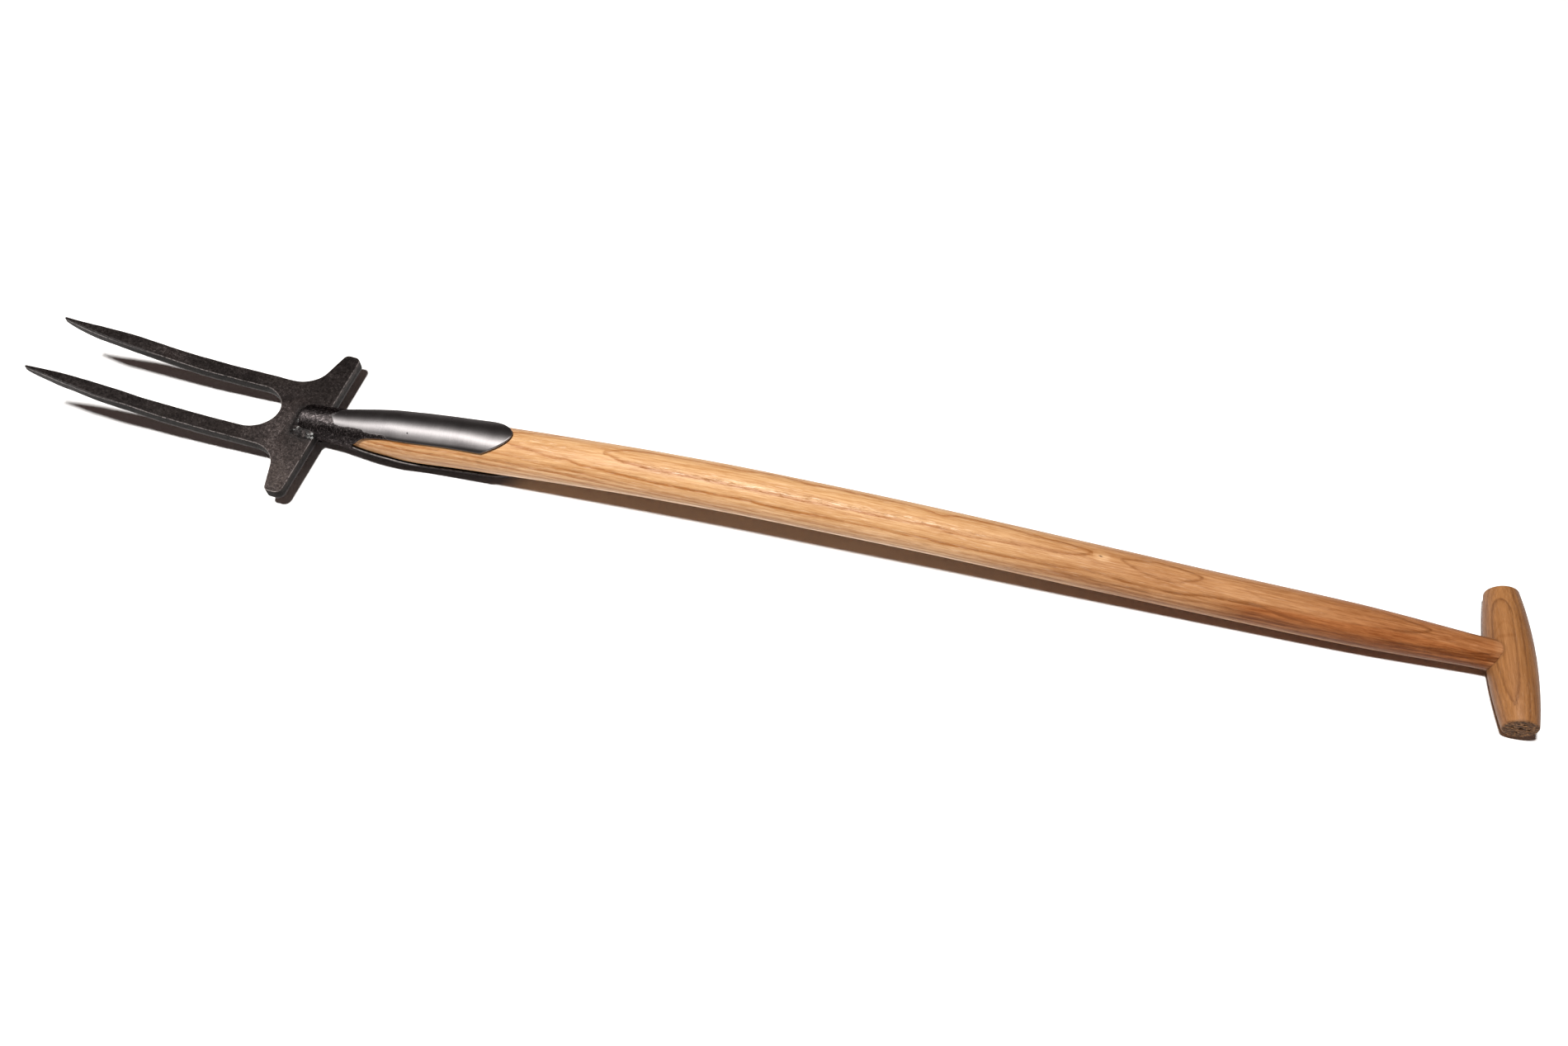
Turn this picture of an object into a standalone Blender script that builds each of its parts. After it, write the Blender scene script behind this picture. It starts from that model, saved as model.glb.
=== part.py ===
"""Two-tine border fork: forged head with foot treads, strapped socket, ash shaft and T grip.

Frame: metres, +Z up.  The fork lies on its back as it would on the ground: +X runs from the
tines to the grip, +Y is to the left of the shaft, Z = 0 is the ground under the socket belly
and the grip.  The origin is the middle of the footprint.
"""
import math

import bmesh
import bpy
from mathutils import Matrix, Vector

MM = 0.001

# ---------------------------------------------------------------- driving dimensions (mm)
GAP = 0.3                  # clearance kept between pieces that touch

TIP_X = -577.5             # tine points
CROTCH_X = -386.2          # bottom of the gap between the tines
REAR_X = -349.1            # rear edge of the plate, where a boot presses
GRIP_X = 561.7             # axis of the T grip

PLATE_T = 8.0              # thickness of the forging
PLATE_FLAT_X = -402.0      # the plate is flat from here to its rear edge
TREAD_HALF = 73.0          # half span over both foot treads
TREAD_ROOT = (-372.5, 34.2)    # where the tread's front edge would meet the tine's side
TREAD_FRONT = (-362.1, 73.0)   # front corner of the tread's end
TREAD_FILLET = 22.0        # sweep from tine to tread
TREAD_FRONT_R = 4.5
TREAD_REAR_R = 7.0
CHAMFER = 0.9
RELIEF_HALF = 18.0         # the plate's rear edge is relieved behind the neck, so that a boot meets only the treads
RELIEF = 0.6

# distance from the point, half width to the tine's outer side
TINE_OUTER = [(0, 28.0), (14, 29.1), (35, 31.1), (62, 33.0), (88, 33.3), (124, 33.8), (175.5, 34.2)]
# distance from the point, half width to the tine's inner side
TINE_INNER = [(0, 27.0), (14, 24.8), (34, 22.9), (68, 21.7), (102, 21.0), (136, 20.6), (169.5, 20.8)]
# x, height of the plate's upper face: the tines sweep up out of the flat plate
PLATE_TOP = [(-577.5, 56.0), (-543.2, 48.6), (-509.0, 40.4), (-463.2, 30.9), (-417.4, 25.4), (-402.0, 24.1)]
PLATE_REAR_Z = 18.5        # upper face at the rear edge

TANG_HALF = 5.5            # tongue of the plate inside the neck
TANG_END_X = -336.2

SOCKET_X = -331.2          # where the wood ends inside the neck
# x, height of the shaft's axis: a shallow bow, lowest in the neck
AXIS_Z = [(-366, 18.4), (-331, 18.4), (-314, 18.8), (-299, 19.7), (-285, 21.0), (-270, 21.9), (-256, 23.3),
          (-227, 26.2), (-199, 28.2), (-144, 32.0), (-64, 35.8), (-5, 36.8), (52, 36.1), (127, 34.5),
          (201, 31.4), (275, 27.7), (347, 24.2), (417, 21.6), (487, 19.0), (561.7, 15.8), (600, 14.3)]
# x, radius of the ash shaft
SHAFT_R = [(-331, 11.9), (-314, 14.6), (-299, 16.7), (-285, 18.0), (-270, 18.8), (-256, 19.1), (-200, 18.9),
           (-144, 18.6), (0, 18.1), (89, 17.8), (164, 17.4), (238, 17.1), (311, 16.6), (382, 16.2),
           (417, 16.0), (452, 15.5), (487, 14.2), (521, 12.5), (540, 11.7), (600, 11.4)]

STRAP_T = 2.3              # sheet of the two straps
FRONT_FIT = 0.35           # front strap to wood
REAR_FIT = 0.7             # rear strap to wood
NECK_R = 14.0              # outside radius of the neck
STRAP_END_X = -181.6       # free ends of both straps
STRAP_OGIVE = 23.0         # how far the strap's corners lie behind its point
NOSE_X = -363.7            # front strap's nose on the plate
# x, half angle of each strap about the shaft, degrees
FRONT_ANGLE = [(-366, 88), (-319, 88), (-314, 82), (-308, 64), (-303, 56.5), (-295, 52), (-280, 49),
               (-245, 48.5), (-203, 50), (-178, 50)]
REAR_ANGLE = [(-366, 88), (-319, 88), (-314, 82), (-298, 77), (-288, 73), (-278, 67), (-268, 58),
              (-256, 53), (-238, 52), (-178, 52)]

GRIP_HALF = 56.0           # half length of the T grip
GRIP_R = 15.8
GRIP_DROP = 2.6            # how much its radius falls at GRIP_DROP_Y
GRIP_DROP_Y = 43.0
GRIP_RIM = 2.8             # rounding of its ends
TENON_R = 7.5
WEDGE_T = 2.2
SCREW_X = (-240.0, -210.0)


# ---------------------------------------------------------------- helpers
def smooth(stations, x):
    """Monotone cubic through the stations, flat beyond them."""
    xs = [s[0] for s in stations]
    ys = [s[1] for s in stations]
    if x <= xs[0]:
        return ys[0]
    if x >= xs[-1]:
        return ys[-1]
    n = len(xs)
    h = [xs[i + 1] - xs[i] for i in range(n - 1)]
    d = [(ys[i + 1] - ys[i]) / h[i] for i in range(n - 1)]
    m = [d[0]] + [0.0] * (n - 2) + [d[-1]]
    for i in range(1, n - 1):
        if d[i - 1] * d[i] > 0:
            w1, w2 = 2 * h[i] + h[i - 1], h[i] + 2 * h[i - 1]
            m[i] = (w1 + w2) / (w1 / d[i - 1] + w2 / d[i])
    i = max(k for k in range(n - 1) if xs[k] <= x)
    t = (x - xs[i]) / h[i]
    return ((2 * t ** 3 - 3 * t ** 2 + 1) * ys[i] + (t ** 3 - 2 * t ** 2 + t) * h[i] * m[i]
            + (-2 * t ** 3 + 3 * t ** 2) * ys[i + 1] + (t ** 3 - t ** 2) * h[i] * m[i + 1])


def axis_z(x):
    return smooth(AXIS_Z, x)


def shaft_r(x):
    return smooth(SHAFT_R, x)


def plate_top(x):
    if x >= PLATE_FLAT_X:
        rise = (PLATE_TOP[-1][1] - PLATE_REAR_Z) / (REAR_X - PLATE_FLAT_X)
        return PLATE_REAR_Z + rise * (REAR_X - x)
    return smooth(PLATE_TOP, x)


def plate_t(x):
    """The tines keep their thickness almost to the point."""
    return PLATE_T - 5.0 * math.exp(-(x - TIP_X) / 6.0)


def grip_r(y):
    """Barrel radius, rounded over at the ends."""
    a = abs(y)
    r = GRIP_R - GRIP_DROP * (a / GRIP_DROP_Y) ** 2
    edge = GRIP_HALF - GRIP_RIM
    if a > edge:
        s = min((a - edge) / GRIP_RIM, 1.0)
        r -= GRIP_RIM * 0.8 * (1.0 - math.sqrt(max(0.0, 1.0 - s * s)))
    return r


def remove_all():
    for ob in list(bpy.data.objects):
        bpy.data.objects.remove(ob, do_unlink=True)
    for col in list(bpy.data.collections):
        bpy.data.collections.remove(col)


def make_material(name, color, rough, metal):
    mat = bpy.data.materials.new(name)
    mat.use_nodes = True
    mat.diffuse_color = (*color, 1.0)
    shader = mat.node_tree.nodes["Principled BSDF"]
    shader.inputs["Base Color"].default_value = (*color, 1.0)
    shader.inputs["Roughness"].default_value = rough
    shader.inputs["Metallic"].default_value = metal
    return mat


def add_mesh_object(name, bm, collection, material=None, smooth_angle=None):
    mesh = bpy.data.meshes.new(name)
    bm.to_mesh(mesh)
    bm.free()
    if smooth_angle is not None:
        mesh.shade_smooth()
        mesh.set_sharp_from_angle(angle=math.radians(smooth_angle))
    ob = bpy.data.objects.new(name, mesh)
    if material:
        mesh.materials.append(material)
    collection.objects.link(ob)
    return ob


def curve_to_mesh(curve_ob, name, collection, material=None, smooth_angle=None):
    """Turn a filled curve into a closed mesh with welded caps."""
    bpy.context.view_layer.update()
    depsgraph = bpy.context.evaluated_depsgraph_get()
    mesh = bpy.data.meshes.new_from_object(curve_ob.evaluated_get(depsgraph))
    mesh.name = name
    mesh.materials.clear()
    bm = bmesh.new()
    bm.from_mesh(mesh)
    bmesh.ops.remove_doubles(bm, verts=bm.verts, dist=0.00001)
    bmesh.ops.recalc_face_normals(bm, faces=bm.faces)
    bm.to_mesh(mesh)
    bm.free()
    if smooth_angle is not None:
        mesh.shade_smooth()
        mesh.set_sharp_from_angle(angle=math.radians(smooth_angle))
    ob = bpy.data.objects.new(name, mesh)
    ob.matrix_world = curve_ob.matrix_world.copy()
    if material:
        mesh.materials.append(material)
    collection.objects.link(ob)
    bpy.data.objects.remove(curve_ob, do_unlink=True)
    return ob


def tube(name, points, radii, collection, material=None, resolution=2, smooth_angle=None):
    """Round bar along points (mm), radius given point by point (mm)."""
    curve = bpy.data.curves.new(name + "_path", "CURVE")
    curve.dimensions = "3D"
    curve.bevel_depth = MM
    curve.bevel_resolution = resolution
    curve.use_fill_caps = True
    curve.twist_mode = "Z_UP"
    spline = curve.splines.new("POLY")
    spline.points.add(len(points) - 1)
    for point, co, r in zip(spline.points, points, radii):
        point.co = (co[0] * MM, co[1] * MM, co[2] * MM, 1.0)
        point.radius = r
    ob = bpy.data.objects.new(name + "_path", curve)
    collection.objects.link(ob)
    return curve_to_mesh(ob, name, collection, material, smooth_angle)


def cutter_box(name, size, location, collection):
    bm = bmesh.new()
    bmesh.ops.create_cube(bm, size=1.0)
    bmesh.ops.scale(bm, vec=Vector(size) * MM, verts=bm.verts)
    ob = add_mesh_object(name, bm, collection)
    ob.location = Vector(location) * MM
    return ob


def cutter_cone(name, r1, r2, depth, location, rotation, collection, segments=20):
    bm = bmesh.new()
    bmesh.ops.create_cone(bm, cap_ends=True, segments=segments, radius1=r1 * MM, radius2=r2 * MM, depth=depth * MM)
    ob = add_mesh_object(name, bm, collection)
    ob.location = Vector(location) * MM
    ob.rotation_euler = rotation
    return ob


def boolean(ob, cutter, operation="DIFFERENCE"):
    mod = ob.modifiers.new(operation.lower(), "BOOLEAN")
    mod.object = cutter
    mod.operation = operation
    mod.solver = "EXACT"
    cutter.hide_render = True
    cutter.display_type = "WIRE"
    return mod


def fillet(corners):
    """Round each corner (x, y, radius) of an open run of points; the ends stay as they are."""
    out = []
    for i, (x, y, r) in enumerate(corners):
        p = Vector((x, y))
        if i in (0, len(corners) - 1) or r <= 0:
            out.append((x, y))
            continue
        a = (Vector(corners[i - 1][:2]) - p).normalized()
        b = (Vector(corners[i + 1][:2]) - p).normalized()
        half = a.angle(b) / 2
        centre = p + (a + b).normalized() * (r / math.sin(half))
        start = p + a * (r / math.tan(half)) - centre
        end = p + b * (r / math.tan(half)) - centre
        turn = start.angle_signed(end)
        steps = max(3, int(round(abs(turn) * r / (3.2 if r > 10 else 1.8))))
        for k in range(steps + 1):
            q = Matrix.Rotation(-turn * k / steps, 2) @ start + centre
            out.append((q.x, q.y))
    return out


# ---------------------------------------------------------------- the forging
def tine_stations():
    """Distances from the point, close together where the point tapers."""
    length = (CROTCH_X - 1.05 * TINE_INNER[-1][1]) - TIP_X
    out = [0.0, 2.0, 4.5, 8.0, 12.0, 17.0, 23.0, 31.0]
    n = 14
    for k in range(1, n + 1):
        out.append(31.0 + (length - 31.0) * k / n)
    return out


def head_outline():
    """Plan outline of half the head (y >= 0), from the tongue round the tread and tine to the crotch."""
    half = fillet([(TANG_END_X, TANG_HALF, 0), (REAR_X - RELIEF, TANG_HALF, 0), (REAR_X - RELIEF, RELIEF_HALF, 0),
                   (REAR_X, RELIEF_HALF, 0), (REAR_X, TREAD_HALF, TREAD_REAR_R),
                   (*TREAD_FRONT, TREAD_FRONT_R), (*TREAD_ROOT, TREAD_FILLET), (PLATE_FLAT_X, TREAD_ROOT[1], 0)])
    stations = tine_stations()
    for s in reversed(stations):
        half.append((TIP_X + s, smooth(TINE_OUTER, s)))
    for s in stations:
        half.append((TIP_X + s, smooth(TINE_INNER, s)))
    ax = CROTCH_X - (TIP_X + stations[-1])
    ay = TINE_INNER[-1][1]
    n = 9
    for k in range(1, n + 1):
        t = math.pi / 2 * k / n
        half.append((CROTCH_X - ax + ax * math.sin(t), ay * math.cos(t)))
    return half


def build_fork_head(parts, material):
    half = head_outline()
    full = half + [(x, -y) for x, y in reversed(half[:-1])]
    curve = bpy.data.curves.new("fork_head_outline", "CURVE")
    curve.dimensions = "2D"
    curve.fill_mode = "BOTH"
    curve.extrude = PLATE_T / 2 * MM
    spline = curve.splines.new("POLY")
    spline.points.add(len(full) - 1)
    for point, (x, y) in zip(spline.points, full):
        point.co = (x * MM, y * MM, 0.0, 1.0)
    spline.use_cyclic_u = True
    outline = bpy.data.objects.new("fork_head_outline", curve)
    parts.objects.link(outline)
    head = curve_to_mesh(outline, "fork_head", parts, material)

    bm = bmesh.new()
    bm.from_mesh(head.data)
    bmesh.ops.dissolve_limit(bm, angle_limit=0.001, verts=bm.verts, edges=bm.edges)
    # fold lines across the tines, so that each stretch stays flat when the tines are swept up
    folds = [TIP_X + s for s in tine_stations()[1:]] + [PLATE_FLAT_X]
    for x in folds:
        bmesh.ops.bisect_plane(bm, geom=bm.verts[:] + bm.edges[:] + bm.faces[:], dist=0.000002,
                               plane_co=(x * MM, 0, 0), plane_no=(1, 0, 0))
    xs = [TIP_X] + folds

    def on_folds(fn, x):
        if x >= PLATE_FLAT_X:
            return fn(x)
        for a, b in zip(xs, xs[1:]):
            if x <= b + 1e-6:
                t = (x - a) / (b - a)
                return fn(a) * (1 - t) + fn(b) * t
        return fn(x)

    for v in bm.verts:
        x = v.co.x / MM
        top = on_folds(plate_top, x)
        v.co.z = (top if v.co.z > 0 else top - on_folds(plate_t, x)) * MM
    # chamfer the rims of the plate and tines, but not their fine points or the hidden tongue
    weight = bm.edges.layers.float.new("bevel_weight_edge")
    for e in bm.edges:
        if len(e.link_faces) != 2 or e.calc_face_angle(0.0) < math.radians(50):
            continue
        a, b = e.verts[0].co, e.verts[1].co
        if abs(a.z - b.z) > 0.6 * PLATE_T * MM:
            continue
        if min(a.x, b.x) > (TIP_X + 22) * MM and max(a.x, b.x) < (REAR_X + 0.1) * MM:
            if max(abs(a.y), abs(b.y)) < (RELIEF_HALF + 0.1) * MM and max(a.x, b.x) > (REAR_X - RELIEF - 0.1) * MM:
                continue
            e[weight] = 1.0
    bmesh.ops.recalc_face_normals(bm, faces=bm.faces)
    bm.to_mesh(head.data)
    bm.free()
    bevel = head.modifiers.new("chamfer", "BEVEL")
    bevel.width = CHAMFER * MM
    bevel.segments = 1
    bevel.limit_method = "WEIGHT"
    bevel.use_clamp_overlap = False
    return head


# ---------------------------------------------------------------- the socket
def strap_columns(x0):
    """x stations of a strap, closer together where its sides are cut away."""
    xs = [-356.7, -352.2, -348.7, -340, -331, -324, -319, -316, -313, -310, -307, -303, -298, -292, -285, -277,
          -268, -258, -246, -232, -218, -206, -197, -190, -185.3, STRAP_END_X]
    return [x0, (x0 - 359.7) / 2] + xs if x0 < -358 else [x0] + [x for x in xs if x > x0 + 4]


def strap_radius(x, fit):
    """Outside radius: a plain neck that opens to follow the wood."""
    if x > SOCKET_X:
        return shaft_r(x) + fit + STRAP_T
    return NECK_R + max(0.0, (x - SOCKET_X + 12.0) / 12.0) * (shaft_r(SOCKET_X) + fit + STRAP_T - NECK_R)


def strap(name, parts, material, front):
    """Half shell pressed round the socket: the outer skin is mapped from a flat grid, then thickened inwards."""
    x0 = NOSE_X if front else REAR_X + 0.4
    columns = strap_columns(x0)
    nu, nv = len(columns) - 1, 10
    bm = bmesh.new()
    bmesh.ops.create_grid(bm, x_segments=nu, y_segments=nv, size=1.0)
    fit = FRONT_FIT if front else REAR_FIT
    for v in bm.verts:
        i = int(round((v.co.x + 1) / 2 * nu))
        side = v.co.y
        x = columns[i]
        # towards the free end the columns curve into the strap's pointed end
        blend = max(0.0, min(1.0, (x + 260.0) / (STRAP_END_X + 260.0)))
        x -= STRAP_OGIVE * abs(side) ** 1.9 * blend
        angle = math.radians(smooth(FRONT_ANGLE if front else REAR_ANGLE, x)) * side
        r = strap_radius(x, fit)
        zc, w, h = axis_z(x) + (GAP / 2 if front else -GAP / 2), r, r
        if front and x < REAR_X:
            # over the plate the neck closes down to a blunt nose
            s = (REAR_X - x) / (REAR_X - NOSE_X)
            zc = plate_top(x) + GAP + 0.05
            w = NECK_R * (1 - 0.34 * s ** 2.2)
            h = (NECK_R - 0.3) * (1 - 0.34 * s ** 2.0)
        elif front and x < SOCKET_X:
            t = (x - REAR_X) / (SOCKET_X - REAR_X)
            zc = (plate_top(REAR_X) + GAP + 0.05) * (1 - t) + zc * t
        v.co = Vector((x, w * math.sin(angle), zc + (h if front else -h) * math.cos(angle))) * MM
    bmesh.ops.recalc_face_normals(bm, faces=bm.faces)
    # the skin's normals point away from the wood
    probe = max(bm.faces, key=lambda f: -abs(f.calc_center_median().x + 0.25) - abs(f.calc_center_median().y))
    if probe.normal.z * (1 if front else -1) < 0:
        bmesh.ops.reverse_faces(bm, faces=bm.faces)
    ob = add_mesh_object(name, bm, parts, material, smooth_angle=40)
    solid = ob.modifiers.new("sheet", "SOLIDIFY")
    solid.thickness = STRAP_T * MM
    solid.offset = -1.0
    solid.use_even_offset = True
    return ob


def build_welds(parts, material):
    # bead round the nose of the neck, lying on the plate
    r = 2.2
    points = []
    leg = 4
    for k in range(leg):
        x = REAR_X - 1.2 - (k / leg) * 3.0
        points.append((x, 17.6))
    cx = points[-1][0] - 0.75
    n = 16
    for k in range(n + 1):
        t = math.pi * k / n
        points.append((cx - 17.2 * math.sin(t), 17.6 * math.cos(t)))
    points += [(x, -17.6) for x, y in reversed(points[:leg])]
    path = [(x, y, plate_top(x) + GAP + r) for x, y in points]
    tube("nose_weld", path, [r] * len(path), parts, material, resolution=2, smooth_angle=50)
    # bead in the corner under the plate, in front of the lower half of the neck
    r = 2.3
    x = REAR_X + 0.4 - GAP - r
    z = plate_top(REAR_X) - PLATE_T - GAP - r
    path = [(x, y, z) for y in (-10, -6, -2, 2, 6, 10)]
    tube("rear_weld", path, [r * 0.8, r, r, r, r, r * 0.8], parts, material, resolution=2, smooth_angle=50)
    # seams along both sides of the neck, where the two straps meet
    for side, name in ((1, "seam_weld_left"), (-1, "seam_weld_right")):
        r = 1.0
        path = []
        for k in range(7):
            x = -345.7 + k * 3.8
            path.append((x, side * (strap_radius(x, REAR_FIT) + GAP + r), axis_z(x)))
        tube(name, path, [0.7, 1, 1, 1, 1, 1, 0.7], parts, material, resolution=1, smooth_angle=60)


# ---------------------------------------------------------------- wood
def turned_grip(name, collection, grow, steps):
    """Barrel turned about Y: the profile runs down its outer side, then is spun round."""
    rows = 22
    bm = bmesh.new()
    verts = []
    for k in range(rows + 1):
        t = -math.cos(math.pi * k / rows)          # rows crowd towards the rounded ends
        y = -t * (GRIP_HALF + grow)
        scaled = -t * GRIP_HALF
        verts.append(bm.verts.new(((grip_r(scaled) + grow) * MM, 0, y * MM)))
    top = bm.verts.new((0, 0, verts[0].co.z))
    bottom = bm.verts.new((0, 0, verts[-1].co.z))
    chain = [top] + verts + [bottom]
    for a, b in zip(chain, chain[1:]):
        bm.edges.new((a, b))
    ob = add_mesh_object(name, bm, collection)
    spin = ob.modifiers.new("spin", "SCREW")
    spin.axis = "Z"
    spin.angle = math.tau
    spin.steps = steps
    spin.render_steps = steps
    spin.use_merge_vertices = True
    spin.merge_threshold = 0.00001
    spin.use_smooth_shade = True
    ob.location = Vector((GRIP_X, 0, GRIP_R)) * MM
    ob.rotation_euler = (math.radians(90), 0, 0)
    return ob


def build_shaft(parts, cutters, material):
    xs = [SOCKET_X, SOCKET_X + 1.5, -325, -320, -315, -310, -305, -299, -292, -285, -277, -268, -258, -244,
          -228, -210, -188, -163, -133, -98, -63, -28, 7, 47, 89, 127, 164, 201, 238, 274, 311, 346, 382, 402,
          417, 434, 452, 470, 487, 504, 521, 532, 542, 556]
    path = [(x, 0.0, axis_z(x)) for x in xs]
    radii = [shaft_r(x) for x in xs]
    radii[0] -= 2.0
    shaft = tube("shaft", path, radii, parts, material, resolution=12, smooth_angle=45)
    # shoulder coped to the barrel of the grip
    envelope = turned_grip("cutter_grip_envelope", cutters, GAP, 32)
    boolean(shaft, envelope)
    # round tenon through the grip, its end dressed flush with the barrel
    tenon = cutter_cone("cutter_tenon", TENON_R, TENON_R, 46.0, (GRIP_X - 1.0, 0, GRIP_R),
                        (0, math.radians(90), 0), cutters, segments=24)
    outside = cutter_box("cutter_tenon_end", (40, 40, 60), (GRIP_X + 20, 0, GRIP_R), cutters)
    barrel = cutter_cone("cutter_tenon_round", GRIP_R - 0.2, GRIP_R - 0.2, 60.0, (GRIP_X, 0, GRIP_R),
                         (math.radians(90), 0, 0), cutters, segments=48)
    boolean(outside, barrel)
    boolean(tenon, outside)
    boolean(shaft, tenon, "UNION")
    # saw kerf for the wedge, opening outwards
    kerf = wedge_solid("cutter_kerf", cutters, WEDGE_T + 2 * GAP, 18.0 + GAP, 30.0)
    boolean(shaft, kerf)
    for k, x in enumerate(SCREW_X):
        z = axis_z(x) - shaft_r(x)
        hole = cutter_cone("cutter_pilot_%d" % k, 2.25, 2.25, 22.0, (x, 0, z + 6.6), (0, 0, 0), cutters, segments=14)
        boolean(shaft, hole)
    return shaft


def wedge_solid(name, collection, thick, depth, height, material=None):
    """Thin wedge driven into the tenon from outside: thick at its head, thin at its foot."""
    bm = bmesh.new()
    bmesh.ops.create_cube(bm, size=1.0)
    x_head = GRIP_X + GRIP_R + 6.0
    x_foot = GRIP_X + GRIP_R - depth
    for v in bm.verts:
        head = v.co.x > 0
        t = thick * (0.25 + 0.75 * (x_head - x_foot) / depth if head else 0.25)
        v.co = Vector((x_head if head else x_foot, t / 2 * (1 if v.co.y > 0 else -1),
                       GRIP_R + height / 2 * (1 if v.co.z > 0 else -1))) * MM
    return add_mesh_object(name, bm, collection, material)


def build_wedge(parts, cutters, material):
    wedge = wedge_solid("tenon_wedge", parts, WEDGE_T, 17.5, 30.0, material)
    # trimmed to the round tenon and to the barrel's surface
    keep = cutter_cone("cutter_wedge_keep", TENON_R - 0.05, TENON_R - 0.05, 70.0, (GRIP_X, 0, GRIP_R),
                       (0, math.radians(90), 0), cutters, segments=24)
    boolean(wedge, keep, "INTERSECT")
    flush = cutter_cone("cutter_wedge_flush", GRIP_R - 0.2, GRIP_R - 0.2, 62.0, (GRIP_X, 0, GRIP_R),
                        (math.radians(90), 0, 0), cutters, segments=48)
    boolean(wedge, flush, "INTERSECT")
    return wedge


def build_grip(parts, cutters, material):
    grip = turned_grip("t_grip", parts, 0.0, 40)
    grip.data.materials.append(material)
    bore = cutter_cone("cutter_grip_bore", TENON_R + GAP, TENON_R + GAP, 60.0, (GRIP_X, 0, GRIP_R),
                       (0, math.radians(90), 0), cutters, segments=24)
    boolean(grip, bore)
    # marks of the lathe's drive centre in the right-hand end: a centre hole and four prongs round it
    marks = [(0.0, 0.0, 1.3)] + [(5.1 * math.cos(a), 5.1 * math.sin(a), 1.0)
                                 for a in (0, math.pi / 2, math.pi, 1.5 * math.pi)]
    for k, (dx, dz, r) in enumerate(marks):
        hole = cutter_cone("cutter_drive_mark_%d" % k, r, r * 0.4, 4.0,
                           (GRIP_X + dx, -GRIP_HALF, GRIP_R + dz), (math.radians(-90), 0, 0), cutters, segments=8)
        boolean(grip, hole)
    # and of the tail centre in the other end
    tail = cutter_cone("cutter_tail_mark", 1.8, 0.4, 4.0, (GRIP_X, GRIP_HALF, GRIP_R),
                       (math.radians(90), 0, 0), cutters, segments=12)
    boolean(grip, tail)
    return grip


# ---------------------------------------------------------------- screws
def build_screws(parts, cutters, material, rear):
    for k, x in enumerate(SCREW_X):
        name = ("strap_screw_lower", "strap_screw_upper")[k]
        z0 = axis_z(x) - GAP / 2 - strap_radius(x, REAR_FIT)
        profile = [(0.0, 18.0), (0.5, 17.6), (1.9, 13.0), (1.9, 2.3), (3.8, 0.1), (3.6, -0.35), (2.2, -0.7), (0.0, -0.8)]
        bm = bmesh.new()
        verts = [bm.verts.new((r * MM, 0, z * MM)) for r, z in profile]
        for a, b in zip(verts, verts[1:]):
            bm.edges.new((a, b))
        ob = add_mesh_object(name, bm, parts, material)
        spin = ob.modifiers.new("spin", "SCREW")
        spin.axis = "Z"
        spin.angle = math.tau
        spin.steps = 16
        spin.render_steps = 16
        spin.use_merge_vertices = True
        spin.merge_threshold = 0.00001
        spin.use_smooth_shade = True
        ob.location = Vector((x, 0, z0)) * MM
        slot = cutter_box("cutter_slot_%d" % k, (1.0, 12.0, 2.0), (x, 0, z0 - 0.9), cutters)
        boolean(ob, slot)
        sink = cutter_cone("cutter_sink_%d" % k, 5.2, 2.3, 3.6, (x, 0, z0 + 0.9), (0, 0, 0), cutters, segments=20)
        boolean(rear, sink)


def main():
    remove_all()
    parts = bpy.data.collections.new("border_fork")
    cutters = bpy.data.collections.new("cutters")
    bpy.context.scene.collection.children.link(parts)
    bpy.context.scene.collection.children.link(cutters)

    forged = make_material("forged_steel", (0.045, 0.040, 0.038), 0.55, 0.85)
    pressed = make_material("pressed_steel", (0.055, 0.052, 0.052), 0.38, 0.9)
    pressed_rear = make_material("pressed_steel_rear", (0.055, 0.052, 0.052), 0.40, 0.9)
    weld = make_material("weld_metal", (0.12, 0.115, 0.11), 0.45, 0.9)
    ash = make_material("ash_shaft", (0.62, 0.36, 0.17), 0.45, 0.0)
    ash_grip = make_material("ash_grip", (0.50, 0.26, 0.12), 0.48, 0.0)
    beech = make_material("wedge_wood", (0.38, 0.20, 0.10), 0.5, 0.0)
    zinc = make_material("screw_steel", (0.30, 0.29, 0.27), 0.4, 0.95)

    build_fork_head(parts, forged)
    strap("front_strap", parts, pressed, True)
    rear = strap("rear_strap", parts, pressed_rear, False)
    build_welds(parts, weld)
    build_shaft(parts, cutters, ash)
    build_grip(parts, cutters, ash_grip)
    build_wedge(parts, cutters, beech)
    build_screws(parts, cutters, zinc, rear)
    bpy.context.view_layer.update()


main()
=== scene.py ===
"""Looks of the two-tine border fork: forged head, strapped socket, ash shaft and turned T grip.

All shapes are worked out here in millimetres in the frame's own axes (+X from the tines to the grip,
+Y left, +Z up) and stand where the solids of the frame stand.
"""
import math

import bmesh
import bpy
import numpy as np
from mathutils import Matrix, Vector
from mathutils.geometry import delaunay_2d_cdt


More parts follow.
